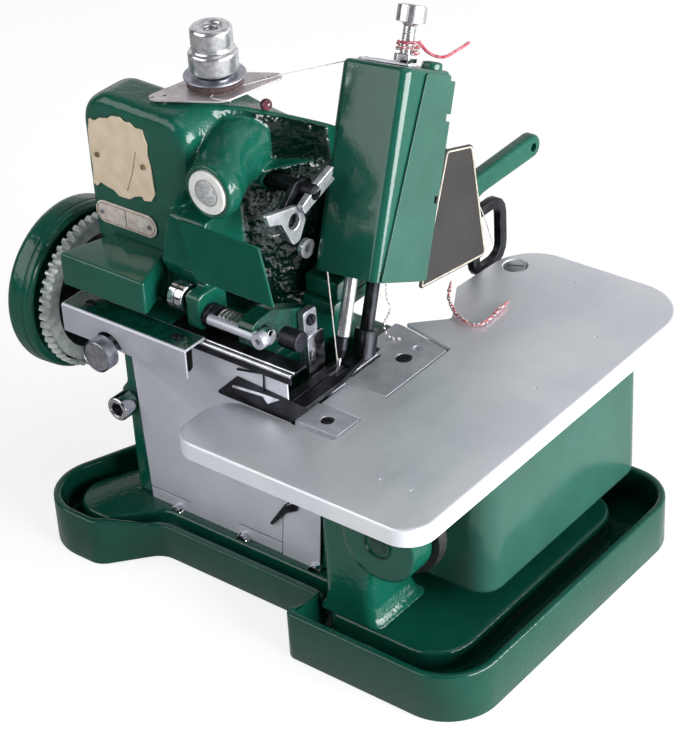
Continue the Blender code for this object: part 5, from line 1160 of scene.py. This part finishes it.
# ---------------------------------------------------------------- hood, badges and oil window
class OVERLOCK_OT_badges(bpy.types.Operator):
    """Hood, oil cover, bare plates with their rivets, and the oil window"""
    bl_idname = "overlock.badges"
    bl_label = "Hood, plates and window"

    def execute(self, context):
        front = -0.0548
        outline = [(-0.1085, -0.084, 0.0015), (-0.0525, -0.084, 0.0015), (-0.064, front, 0.001),
                   (-0.099, front, 0.001)]
        hood = pressed(outline, 0.1435, 0.1605, 0.0016, 0.0, [1, 1, 0.1, 1], segments=6, steps=5)
        inner = prism(rounded(offset_corners(outline, [0.002, 0.002, -0.01, 0.002]), 4), 0.12, 0.1585)
        remade("shaft_hood", carve(hood, inner), "sheet_enamel", "green_sheet")
        carried("oil_cover", "sheet_enamel", "green_sheet", 0.0004)

        # brass plate, cut in scrolls along its top and foot
        brass = [(-0.1054, 0.2222), (-0.102, 0.2216), (-0.0985, 0.224), (-0.093, 0.2252), (-0.0902, 0.2272),
                 (-0.0849, 0.228), (-0.0816, 0.2262), (-0.0785, 0.2268), (-0.0754, 0.2248), (-0.0707, 0.225),
                 (-0.0696, 0.221), (-0.0684, 0.2174), (-0.069, 0.212), (-0.0676, 0.206), (-0.0668, 0.1913),
                 (-0.0695, 0.1869), (-0.0743, 0.186), (-0.0752, 0.1881), (-0.08, 0.1866), (-0.0839, 0.184),
                 (-0.0908, 0.1838), (-0.094, 0.1862), (-0.0975, 0.1867), (-0.1026, 0.1881), (-0.1052, 0.1853),
                 (-0.1074, 0.1866), (-0.1066, 0.196), (-0.1074, 0.204), (-0.107, 0.2151)]
        plate = front_prism(rounded([(x, z, 0.0008) for x, z in brass], 3), front - 0.0008, front)
        remade("brass_plate", plate, "etched_brass", "etched_brass", edge=0.00018, sharp=60)
        crease = sweep([(-0.0762, front - 0.00075, 0.212), (-0.08, front - 0.0008, 0.199),
                        (-0.0846, front - 0.00075, 0.1886)], 0.0002, 6)
        shown("brass_plate_crease", crease, "stained_brass", "etched_brass")
        rivets = [(-0.1022, front - 0.0011, 0.2035, AHEAD, 0.2), (-0.0722, front - 0.0011, 0.205, AHEAD, 1.4)]
        fasteners("brass_plate_rivets", rivets, 0.0014, 0.0009, "stained_brass", "etched_brass",
                  slot_width=0.0002)
        oval = rounded(box_corners(-0.108, -0.068, 0.166, 0.178, 0.0059), 14)
        ring = rounded(box_corners(-0.1068, -0.0692, 0.1672, 0.1768, 0.0047), 12)
        edge = sweep([(x, front - 0.0008, z) for x, z in ring + ring[:1]], 0.00022, 6)
        middle = sweep([(-0.088, front - 0.0008, 0.1674), (-0.088, front - 0.0008, 0.1766)], 0.00022, 6)
        remade("oval_plate", front_prism(oval, front - 0.0008, front), "bare_alloy", "alloy_disc", edge=0.0002,
               sharp=60)
        shown("oval_plate_lines", merged(edge, middle), "stained_brass", "etched_brass")
        fasteners("oval_plate_rivets", [(-0.1036, front - 0.0011, 0.172, AHEAD, 0.5),
                                        (-0.0724, front - 0.0011, 0.172, AHEAD, 1.2)],
                  0.0012, 0.0008, "turned_alloy", "alloy_disc", slot_width=0.0002)

        # tag behind the head, with its pale printed border
        face = 0.022
        tag = [(0.034, 0.1225, 0.002), (0.0915, 0.115, 0.003), (0.0822, 0.183, 0.004), (0.06, 0.1895, 0.003)]
        sheet = side_prism(rounded(tag, 6), face - 0.0012, face - 0.0002)
        remade("tag_plate", sheet, "black_lacquer", "black_lacquer", edge=0.0002)
        loop = rounded(offset_corners(tag, 0.0013), 6)
        border = sweep([(face, y, z) for y, z in loop + loop[:1]], 0.00045, 6)
        shown("tag_border", border, "pale_line", "white_ring")

        at = (-0.029, -0.0598, 0.205)
        ring = lathe([(0.0068, 0.0), (0.0106, 0.0), (0.0112, 0.0007), (0.0112, 0.004), (0.0068, 0.004)], 0.0005,
                     64, ring=True)
        remade("window_ring", put(ring, at, "Y"), "white_plastic", "white_ring")
        dome = [(0, -0.0014)] + [(0.0066 * math.sin(a), 0.0006 - 0.002 * math.cos(a))
                                 for a in (math.pi / 2 * k / 8 for k in range(1, 9))]
        glass = turned(dome + [(0.0066, 0.004), (0, 0.004)], 48)
        remade("window_glass", put(glass, at, "Y"), "sight_glass", "sight_glass")
        return {"FINISHED"}


# ---------------------------------------------------------------- tension stack
class OVERLOCK_OT_tension(bpy.types.Operator):
    """Thread tension: rhombic plate, felt, washer and chrome nut on a stud"""
    bl_idname = "overlock.tension"
    bl_label = "Thread tension"

    def execute(self, context):
        base = FELT_LOW.z - 0.0013
        at = (STACK_X, STACK_Y, 0)
        turn = Matrix.Translation(at) @ Matrix.Rotation(math.radians(54), 4, "Z")
        tips = [(-0.038, 0.0, 0.004), (0.0, -0.018, 0.012), (0.038, 0.0, 0.004), (0.0, 0.018, 0.012)]
        plate = prism(rounded(tips, 10), base, base + 0.001)
        holes = [box(x - 0.0024, x + 0.0024, -0.0009, 0.0009, base - 0.01, base + 0.01, 0.0009, 6)
                 for x in (-0.0322, 0.0322)]
        holes += [put(rod(0.0013, base - 0.01, base + 0.01, 0.0, 24), (x, 0, 0)) for x in (-0.0252, 0.0252)]
        holes.append(rod(0.0033, base - 0.01, base + 0.01, 0.0, 32))
        remade("tension_plate", put(carve(plate, *holes), matrix=turn), "stamped_steel", "ground_steel",
               edge=0.0002, sharp=60)
        stud = rod(0.003, base - 0.008, base + 0.03, 0.0005, 48)
        remade("tension_stud", put(stud, at), "ground_steel", "ground_steel")
        layer = base + 0.0013
        rings = [(0.0033, layer), (0.0122, layer), (0.0138, layer + 0.0011), (0.0138, layer + 0.0022),
                 (0.012, layer + 0.0027), (0.0138, layer + 0.0033), (0.0137, layer + 0.0043),
                 (0.0124, layer + 0.0052), (0.0033, layer + 0.0052)]
        felt = lathe(rings, 0.0008, 64, ring=True)
        remade("tension_felt", put(felt, at), "brown_felt", "brown_felt")
        disc_z = layer + 0.0055
        disc = lathe([(0.0033, disc_z), (0.0148, disc_z), (0.0152, disc_z + 0.0003), (0.0152, disc_z + 0.0009),
                      (0.0148, disc_z + 0.0012), (0.01, disc_z + 0.0009), (0.0033, disc_z + 0.0012)], 0.0002,
                     96, 2, ring=True)
        remade("tension_disc", put(disc, at), "turned_alloy", "alloy_disc")
        z = disc_z + 0.0015
        profile = [(0.0033, z), (0.0085, z), (0.0088, z + 0.0014), (0.0112, z + 0.0016), (0.012, z + 0.0026),
                   (0.012, z + 0.0108), (0.0114, z + 0.012), (0.0104, z + 0.0124), (0.0098, z + 0.0134),
                   (0.0098, z + 0.0142), (0.0102, z + 0.015), (0.0102, z + 0.0226), (0.0094, z + 0.024),
                   (0.0058, z + 0.024), (0.005, z + 0.0228), (0.0033, z + 0.0226)]
        nut = lathe(profile, 0.0005, 96, ring=True)
        remade("tension_nut", put(nut, at), "milky_chrome", "chrome_plate")
        # small red oil plug beside the stack
        bead = [(0, -0.003)] + [(0.003 * math.sin(a), -0.003 * math.cos(a))
                                 for a in (math.pi * k / 10 for k in range(1, 10))] + [(0, 0.003)]
        shown("oil_plug", put(turned(bead, 32), (-0.0335, -0.0078, 0.228)), "red_glass", "black_rubber")
        return {"FINISHED"}


# ---------------------------------------------------------------- head
class OVERLOCK_OT_head(bpy.types.Operator):
    """Head: pressed casing with its side sheet, bars, needle, thread guide and pressure screw"""
    bl_idname = "overlock.head"
    bl_label = "Head"

    def execute(self, context):
        w, d, h = HEAD_W, HEAD_D, HEAD_H
        wall = 0.0018
        outline = [(-w, 0.0, 0.0055), (0.0, 0.0, 0.0055), (0.0, d, 0.0), (-w, d, 0.0)]
        casing = pressed(outline, 0.0, h, 0.0028, 0.0004, [1, 1, 0, 1], segments=12, steps=7)
        inner = prism(rounded(offset_corners(outline, [wall, wall, -0.01, wall]), 8), -0.01, h - wall)
        bore = put(rod(0.0052, h - 0.01, h + 0.01, 0.0, 32), PRESSER_LINE)
        slit = box(-0.031, -0.027, 0.009, 0.021, h - 0.01, h + 0.01, 0.0015)
        step = box(-0.01, 0.01, d - 0.0042, d + 0.01, h - 0.0045, h + 0.01)
        open_slots = [box(-0.004, 0.01, d - 0.0034, d + 0.01, z, z + 0.0036) for z in (0.0389, 0.0789)]
        casing = carve(carve(casing, inner, bore, slit), step, *open_slots)
        remade("head_casing", on_head(casing), "head_enamel", "green_sheet")
        # separate flat sheet on the right, stepped at its upper rear corner, with two open slots
        side = [(0.0028, 0.0006, 0.001), (d, 0.0006, 0.001), (d, h - 0.0045, 0.0008),
                (d - 0.0042, h - 0.0045, 0.0006), (d - 0.0042, h - 0.0016, 0.0015), (0.0162, h - 0.0016, 0.002)]
        sheet = side_prism(rounded(side, 5), 0.0002, 0.0012)
        slots = [side_prism(box_points(d - 0.0034, d + 0.01, z, z + 0.0036), -0.01, 0.01)
                 for z in (0.0389, 0.0789)]
        shown("head_side_sheet", on_head(carve(sheet, *slots)), "box_enamel", "green_sheet",
              edge=0.00025, sharp=60)
        room = on_head(box(-0.008, 0.01, d - 0.0075, d + 0.01, -0.01, h + 0.01))
        remade("head_frame", carve(copied("head_frame"), room), "cast_enamel", "green_enamel", edge=0.0003)

        bar = on_head(rod(0.0033, -0.03, h - 0.026, 0.0005, 48), NEEDLE_LINE)
        remade("needle_bar", bar, "milky_chrome", "chrome_plate")
        clamp = lathe([(0, -0.0405), (0.0016, -0.0405), (0.0028, -0.0365), (0.0028, -0.0303), (0, -0.0303)],
                      0.0004, 32)
        remade("needle_clamp", on_head(clamp, NEEDLE_LINE), "blued_steel", "blued_steel")
        needle = turned([(0, -0.0548), (0.0004, -0.0528), (0.0004, -0.0458), (0.0008, -0.0448),
                         (0.0008, -0.0408), (0, -0.0408)], 24)
        remade("needle", on_head(needle, NEEDLE_LINE), "nickel_chrome", "chrome_plate")
        bar = on_head(rod(0.0034, -0.036, h - 0.0345, 0.0005, 48), PRESSER_LINE)
        remade("presser_bar", bar, "blued_steel", "chrome_plate")
        coil = spring(6, 0.005, 0.04, 0.0007, "spring_wire")
        remade("presser_spring", on_head(coil, (BAR_X, PRESSER_BAR_Y, 0.033)), "spring_wire", "spring_wire",
               smooth=180)
        carried("presser_foot", "blued_steel", "ground_steel", 0.0004)

        # pressure screw with its knurled head, and the lock nut on the casing
        screw = lathe([(0, h - 0.027), (0.0026, h - 0.027), (0.003, h - 0.0265), (0.003, h + 0.0186),
                       (0.0042, h + 0.02), (0.0058, h + 0.0203), (0.0068, h + 0.0213), (0.0068, h + 0.0277),
                       (0.0058, h + 0.029), (0, h + 0.029)], 0.0005, 64)
        knurl = put(teeth(40, 0.0068, 0.0004, 0.005, 0.0005, "nickel_chrome"), (0, 0, h + 0.022))
        thread = put(spring(11, 0.003, 0.013, 0.00032, "nickel_chrome"), (0, 0, h + 0.005))
        remade("pressure_screw", on_head(merged(screw, knurl, thread), PRESSER_LINE), "milky_chrome",
               "chrome_plate", smooth=30)
        sides = [(0.006 * math.cos(a), 0.006 * math.sin(a))
                 for a in (math.tau * (i + 0.3) / 6 for i in range(6))]
        nut = carve(prism(sides, h + 0.0014, h + 0.0052), rod(0.0034, 0, 1, 0.0, 32))
        shown("pressure_lock_nut", on_head(nut, PRESSER_LINE), "nickel_chrome",
              "chrome_plate", edge=0.0005, sharp=50)
        guide = prism(rounded([(-0.0335, 0.006, 0.002), (-0.006, 0.01, 0.002), (-0.006, 0.017, 0.002),
                               (-0.013, 0.0215, 0.003), (-0.026, 0.023, 0.002), (-0.0335, 0.023, 0.002)], 6),
                      h + 0.0003, h + 0.0013)
        slot = box(-0.0305, -0.0275, 0.0095, 0.0205, h - 0.01, h + 0.01, 0.0012)
        remade("thread_guide", on_head(carve(guide, slot)), "lapped_steel", "ground_steel", edge=0.0002,
               sharp=60)
        boss = lathe([(0, h - 0.001), (0.0052, h - 0.001), (0.005, h + 0.003), (0.003, h + 0.0036),
                      (0, h + 0.0036)], 0.0008, 40)
        shown("head_boss", on_head(boss, (-0.0075, 0.032, 0)), "head_enamel", "green_sheet")
        fasteners("guide_screw", [tuple(HEAD @ Vector((-0.011, 0.014, h + 0.0018)))
                                  + (tuple(HEAD.to_3x3() @ Vector(UP)), 0.6)], 0.0024, 0.0012,
                  "blued_steel", "blued_steel")
        return {"FINISHED"}


# ---------------------------------------------------------------- knife and needle drive
class OVERLOCK_OT_knife(bpy.types.Operator):
    """Upper knife on its rod, with spring, collar and thumb screw"""
    bl_idname = "overlock.knife"
    bl_label = "Upper knife"

    def execute(self, context):
        chrome = "nickel_chrome"
        bar = rod(0.004, -0.04, 0.0075, 0.0006, 48)
        remade("knife_rod", put(bar, KNIFE_ROD, "X"), chrome, "chrome_plate")
        coil = spring(6, 0.0052, 0.0148, 0.0006, "spring_wire")
        remade("knife_spring", put(coil, (-0.0229, *KNIFE_ROD[1:]), "X"), "spring_wire", "spring_wire",
               smooth=180)
        collar = lathe([(0.0043, -0.0305), (0.0064, -0.0305), (0.0064, -0.0286), (0.0058, -0.0282),
                        (0.0058, -0.027), (0.0064, -0.0266), (0.0064, -0.024), (0.0043, -0.024)], 0.0003, 48, 2,
                       ring=True)
        remade("spring_collar", put(collar, KNIFE_ROD, "X"), "blued_steel", "blued_steel")
        face = -0.0405
        thumb = lathe([(0, face - 0.008), (0.006, face - 0.008), (0.0067, face - 0.0072),
                       (0.0067, face - 0.0052), (0.0048, face - 0.0044), (0.0048, face - 0.0036),
                       (0.0067, face - 0.0028), (0.0067, face - 0.0008), (0.006, face), (0.0022, face),
                       (0.0022, -0.0335), (0, -0.0335)], 0.0003, 48)
        ribs = [put(teeth(36, 0.0067, 0.0004, 0.0018, 0.0004, chrome), (0, 0, at))
                for at in (face - 0.0071, face - 0.0027)]
        remade("thumb_nut", put(merged(thumb, *ribs), (0, -0.066, 0.1478), "X"), chrome, "chrome_plate",
               smooth=30)
        # the knife arm wears the near-black enamel as painted shade under the head
        carried("knife_arm", "oiled_and_shaded_enamel", "green_enamel", 0.0004)
        carried("knife_holder", "ground_steel", "ground_steel", 0.0004)
        carried("upper_knife", chrome, "chrome_plate", 0.0002)
        fasteners("knife_screw", [(0.0066, -0.033, 0.1345, (1, 0, 0), 0.4)], 0.003, 0.0016, "blued_steel",
                  "blued_steel", "knife")
        return {"FINISHED"}


class OVERLOCK_OT_lever(bpy.types.Operator):
    """Needle drive in view: rocker shaft, crank and link"""
    bl_idname = "overlock.lever"
    bl_label = "Needle drive"

    def execute(self, context):
        bright = "bright_steel"
        bar = put(rod(0.004, -0.04, 0.001, 0.0005, 48), ROCKER, "X")
        remade("rocker_shaft", bar, "blued_steel", "ground_steel")
        x = -0.006
        outline = [(-0.009, -0.0035, 0.003), (-0.018, -0.002, 0.003), (-0.032, 0.001, 0.001),
                   (-0.03, -0.0055, 0.001), (-0.0215, -0.0085, 0.002), (-0.014, -0.0235, 0.003),
                   (-0.009, -0.0225, 0.003), (-0.0035, -0.013, 0.003)]
        eye = put(rod(0.004, -0.05, 0.05, 0.0, 40), (0, -0.0125, -0.0108), "X")
        crank = carve(side_prism(rounded(outline, 8), x, x + 0.003), eye)
        remade("needle_crank", put(crank, ROCKER), bright, "chrome_plate", edge=0.0006)
        outline = [(0.007, 0.005, 0.005), (-0.005, 0.006, 0.004), (-0.018, -0.006, 0.006),
                   (-0.011, -0.017, 0.006), (0.006, -0.006, 0.005)]
        shown("crank_arm", put(side_prism(rounded(outline, 6), x - 0.0036, x - 0.0006), ROCKER), "blued_steel",
              "chrome_plate", "needle_lever", edge=0.0006)
        outline = [(-0.0105, -0.0025, 0.0008), (-0.009, -0.0075, 0.0008), (0.0035, -0.003, 0.001),
                   (0.015, 0.001, 0.0008), (0.0128, 0.0035, 0.0008), (0.015, 0.0085, 0.0008),
                   (0.002, 0.004, 0.001)]
        link = side_prism(rounded(outline, 5), x + 0.0033, 0.001)
        remade("needle_link", put(link, ROCKER), bright, "chrome_plate", edge=0.0005)
        ring = lathe([(0.0022, -0.0015), (0.005, -0.0015), (0.005, 0.0015), (0.0022, 0.0015)], 0.0004, 40, 2,
                     ring=True)
        shown("drive_ring", put(ring, (x - 0.0038, ROCKER[1] + 0.0024, ROCKER[2] - 0.0343), "X"), bright,
              "chrome_plate", "needle_lever")
        return {"FINISHED"}


class OVERLOCK_OT_threads(bpy.types.Operator):
    """Threads: stitch chain on the cloth plate, needle thread, and the thread tied at the pressure screw"""
    bl_idname = "overlock.threads"
    bl_label = "Threads"

    def execute(self, context):
        red, white = "red_thread", "white_thread"
        top = PLATE_TOP + 0.0016
        path = curve_through([(x, y, top) for x, y in
                              ((0.014, 0.071), (0.022, 0.058), (0.037, 0.046), (0.05, 0.046), (0.049, 0.071))])
        shown("chain_red", chain(path, 0.0013, red, 3), red, "brown_felt", "plate", smooth=60)
        shown("chain_white", chain(path, 0.0012, white, 8), white, "white_ring", "plate", smooth=60)
        # white thread from the tension plate to the head, through the guide and down to the needle
        tip = Vector((STACK_X + 0.0225, STACK_Y + 0.03, FELT_LOW.z + 0.0004))
        head_top = HEAD @ Vector((-HEAD_W + 0.006, 0.015, HEAD_H + 0.0018))
        long = sweep([tip, head_top], 0.00022, 6)
        around = [(STACK_X + 0.018, STACK_Y - 0.01, FELT_LOW.z + 0.0003),
                  (STACK_X + 0.008, STACK_Y - 0.0125, FELT_LOW.z + 0.0016),
                  (STACK_X + 0.013, STACK_Y + 0.006, FELT_LOW.z + 0.0012), tip]
        around = sweep(curve_through(around), 0.00022, 6)
        eye = HEAD @ Vector((BAR_X, NEEDLE_BAR_Y, -0.051))
        beside = HEAD @ Vector((BAR_X - 0.0008, NEEDLE_BAR_Y - 0.0004, -0.043))
        drop = sweep([eye + Vector((-0.0012, -0.0006, 0.06)), beside, eye], 0.0003, 6)
        shown("thread_white", merged(long, around), white, "white_ring", smooth=60)
        shown("needle_thread", drop, white, "white_ring", "needle_slide", smooth=60)
        # thread end that hangs from the head beside the presser bar, and one looped behind the tag
        hang = curve_through([(0.023, 0.01, 0.16), (0.0196, 0.01, 0.1337), (0.0215, 0.01, 0.1229),
                              (0.0172, 0.01, 0.1128), (0.0193, 0.011, 0.106), (0.023, 0.014, 0.1048)])
        shown("hanging_thread", chain(hang, 0.0008, white, 21), white, "white_ring", smooth=60)
        behind = curve_through([(0.015, 0.0907, 0.15), (0.015, 0.101, 0.129), (0.015, 0.1076, 0.111)])
        shown("tag_thread", sweep(behind, 0.00035, 6), white, "white_ring", smooth=60)
        # thread tied round the foot of the pressure screw
        centre = Vector((BAR_X, PRESSER_BAR_Y, HEAD_H + 0.0062))
        loops = [HEAD @ (centre + Vector((0.0052 * math.cos(a) * (1 + 0.15 * math.sin(3 * a)),
                                          0.0046 * math.sin(a), 0.0004 * a))) for a in
                 (math.tau * k / 14 for k in range(30))]
        tail = [loops[-1]] + [HEAD @ (centre + Vector(step)) for step in
                              ((0.009, 0.006, 0.001), (0.015, 0.01, 0.0), (0.019, 0.017, 0.005),
                               (0.02, 0.023, 0.0085))]
        shown("tie_red", merged(chain(loops, 0.0013, red, 5), sweep(curve_through(tail), 0.0008, 8)), red,
              "brown_felt", smooth=60)
        shown("tie_white", chain(loops[:16], 0.001, white, 11), white, "white_ring", smooth=60)
        return {"FINISHED"}


class OVERLOCK_OT_lifter(bpy.types.Operator):
    """Presser foot lifter on its pin, and the dark bracket behind it"""
    bl_idname = "overlock.lifter"
    bl_label = "Lifter"

    def execute(self, context):
        y, z = 0.07, 0.144
        end, rise, half = 0.08, 0.0092, 0.0065
        outline = [(-0.0088, -0.0088, 0.0085), (0.009, -0.0088, 0.006), (0.024, 0.0022, 0.02),
                   (end, rise - half, 0.0062), (end, rise + half, 0.0062), (0.022, 0.014, 0.02),
                   (-0.0088, 0.0088, 0.0085)]
        bar = pressed(outline, 0.009, 0.017, 0.0022, 0.0022, segments=8, steps=5)
        for vert in bar.verts:
            vert.co = (vert.co.z, vert.co.x, vert.co.y)
        holes = [put(rod(r, -0.01, 0.04, 0.0, 32), (0, dy, dz), "X") for r, dy, dz in
                 ((0.0024, 0.073, rise), (0.0038, 0.0, 0.0))]
        lever = put(carve(bar, *holes), (0, y, z))
        remade("lifter_lever", lever, "cast_enamel", "green_enamel")
        pin = put(rod(0.0035, -0.0055, 0.02, 0.0005, 40), (0, y, z), "X")
        remade("lifter_pin", pin, "ground_steel", "ground_steel")
        carried("rear_bracket", "blued_steel", "blued_steel", 0.0006)
        return {"FINISHED"}


# ---------------------------------------------------------------- stage
def lamp(name, at, target, power, width, height):
    light = bpy.data.lights.new(name, "AREA")
    light.shape = "RECTANGLE"
    light.size, light.size_y = width, height
    light.energy = power * sizes().lamp_level
    obj = bpy.data.objects.new(name, light)
    obj.location = at
    obj.rotation_euler = (Vector(at) - Vector(target)).to_track_quat("Z", "Y").to_euler()
    bpy.context.collection.objects.link(obj)


class OVERLOCK_OT_stage(bpy.types.Operator):
    """Pale floor, soft lamps and the camera"""
    bl_idname = "overlock.stage"
    bl_label = "Stage"

    def execute(self, context):
        scene = context.scene
        scene.view_settings.view_transform = "Standard"
        # floor: white where nothing shades it, seen directly or mirrored
        material = bpy.data.materials.new("pale_floor")
        material.use_nodes = True
        tree = material.node_tree
        tree.nodes.clear()
        path = node(tree, "ShaderNodeLightPath")
        seen = node(tree, "ShaderNodeMath",
                    {0: path.outputs["Is Camera Ray"], 1: path.outputs["Is Glossy Ray"]}, operation="MAXIMUM")
        seen = node(tree, "ShaderNodeMath", {0: seen, 1: path.outputs["Is Transmission Ray"]},
                    operation="MAXIMUM")
        plain = node(tree, "ShaderNodeBsdfDiffuse", {"Color": (0.8, 0.8, 0.8, 1)})
        # mirrored, the floor falls off to grey in front of the machine
        place = node(tree, "ShaderNodeTexCoord")
        split = node(tree, "ShaderNodeSeparateXYZ", {"Vector": place.outputs["Object"]})
        along = node(tree, "ShaderNodeMath", {0: split.outputs["X"], 1: split.outputs["Y"]}, operation="ADD")
        near = node(tree, "ShaderNodeMapRange", {"Value": along, "From Min": -0.25, "From Max": 0.1})
        grey = node(tree, "ShaderNodeMapRange", {"Value": near, "To Min": 0.1, "To Max": 0.25})
        mirror = node(tree, "ShaderNodeMapRange", {"Value": near, "To Min": 0.24, "To Max": 0.5})
        level = node(tree, "ShaderNodeMix", {"Factor": path.outputs["Is Glossy Ray"], "A": 0.74, "B": mirror})
        shade = node(tree, "ShaderNodeMix", {"Factor": path.outputs["Is Glossy Ray"], "A": 0.45, "B": grey})
        dim = node(tree, "ShaderNodeBsdfDiffuse", {"Color": shade})
        glow = node(tree, "ShaderNodeEmission", {"Color": (1, 1, 1, 1), "Strength": level})
        white = node(tree, "ShaderNodeAddShader", {0: dim, 1: glow})
        mix = node(tree, "ShaderNodeMixShader", {0: seen, 1: plain, 2: white})
        node(tree, "ShaderNodeOutputMaterial", {"Surface": mix})
        bm = bmesh.new()
        bmesh.ops.create_grid(bm, x_segments=1, y_segments=1, size=4.0)
        bmesh.ops.translate(bm, vec=(0, 0, -0.0002), verts=bm.verts)
        mesh = bpy.data.meshes.new("floor")
        bm.to_mesh(mesh)
        bm.free()
        mesh.materials.append(material)
        floor = bpy.data.objects.new("floor", mesh)
        context.collection.objects.link(floor)

        world = bpy.data.worlds.new("studio")
        scene.world = world
        world.use_nodes = True
        tree = world.node_tree
        tree.nodes.clear()
        path = node(tree, "ShaderNodeLightPath")
        ambient = node(tree, "ShaderNodeBackground", {"Color": (1, 1, 1, 1), "Strength": 0.06})
        back = node(tree, "ShaderNodeBackground", {"Color": (1, 1, 1, 1), "Strength": 1.0})
        seen = node(tree, "ShaderNodeMath",
                    {0: path.outputs["Is Camera Ray"], 1: path.outputs["Is Transmission Ray"]},
                    operation="MAXIMUM")
        # mirrored, the backdrop is white low behind the machine, and the room above and in front is dim
        place = node(tree, "ShaderNodeTexCoord")
        split = node(tree, "ShaderNodeSeparateXYZ", {"Vector": place.outputs["Generated"]})
        depth = node(tree, "ShaderNodeMapRange",
                     {"Value": split.outputs["Y"], "From Min": -0.1, "From Max": 0.3})
        height = node(tree, "ShaderNodeMapRange",
                      {"Value": split.outputs["Z"], "From Min": 0.15, "From Max": 0.98, "To Min": 1.0,
                       "To Max": 0.0})
        white = node(tree, "ShaderNodeMath", {0: depth, 1: height}, operation="MULTIPLY")
        level = node(tree, "ShaderNodeMapRange", {"Value": white, "To Min": 0.05, "To Max": 1.0})
        room = node(tree, "ShaderNodeBackground", {"Color": (1, 1, 1, 1), "Strength": level})
        mirrored = node(tree, "ShaderNodeMixShader", {0: path.outputs["Is Glossy Ray"], 1: ambient, 2: room})
        mix = node(tree, "ShaderNodeMixShader", {0: seen, 1: mirrored, 2: back})
        node(tree, "ShaderNodeOutputWorld", {"Surface": mix})

        for name, row in LAMPS.items():
            lamp(name, *row)

        data = bpy.data.cameras.new("main_view")
        data.sensor_width, data.lens = 36.0, CAMERA_LENS
        data.clip_start, data.clip_end = 0.05, 30.0
        camera = bpy.data.objects.new("main_view", data)
        a, e, r = (math.radians(angle) for angle in CAMERA_TURN)
        back_dir = Vector((math.sin(a) * math.cos(e), -math.cos(a) * math.cos(e), math.sin(e)))
        right = Vector((math.cos(a), math.sin(a), 0.0))
        up = back_dir.cross(right)
        across = right * math.cos(r) + up * math.sin(r)
        above = up * math.cos(r) - right * math.sin(r)
        turn = Matrix((across, above, back_dir)).transposed().to_4x4()
        camera.matrix_world = Matrix.Translation(CAMERA_AT) @ turn
        context.collection.objects.link(camera)
        scene.camera = camera
        return {"FINISHED"}


class OVERLOCK_PT_panel(bpy.types.Panel):
    """Lists the machine's pieces"""
    bl_label = "Overlock Machine"
    bl_space_type = "VIEW_3D"
    bl_region_type = "UI"
    bl_category = "Overlock"

    def draw(self, context):
        values = context.scene.overlock_sizes
        for name in OverlockSizes.__annotations__:
            self.layout.prop(values, name)
        for operator in OPERATORS:
            self.layout.operator(operator.bl_idname)


OPERATORS = (
    OVERLOCK_OT_stage, OVERLOCK_OT_base, OVERLOCK_OT_leg, OVERLOCK_OT_casting, OVERLOCK_OT_wheel,
    OVERLOCK_OT_plates, OVERLOCK_OT_front, OVERLOCK_OT_badges, OVERLOCK_OT_tension, OVERLOCK_OT_head,
    OVERLOCK_OT_knife, OVERLOCK_OT_lever, OVERLOCK_OT_lifter, OVERLOCK_OT_threads,
)


def register():
    for each in (OverlockSizes, *OPERATORS, OVERLOCK_PT_panel):
        bpy.utils.register_class(each)
    bpy.types.Scene.overlock_sizes = PointerProperty(type=OverlockSizes)


def unregister():
    del bpy.types.Scene.overlock_sizes
    for each in (OVERLOCK_PT_panel, *reversed(OPERATORS), OverlockSizes):
        bpy.utils.unregister_class(each)


def main():
    register()
    for operator in OPERATORS:
        getattr(bpy.ops.overlock, operator.bl_idname.split(".")[1])()


if __name__ == "__main__":
    main()
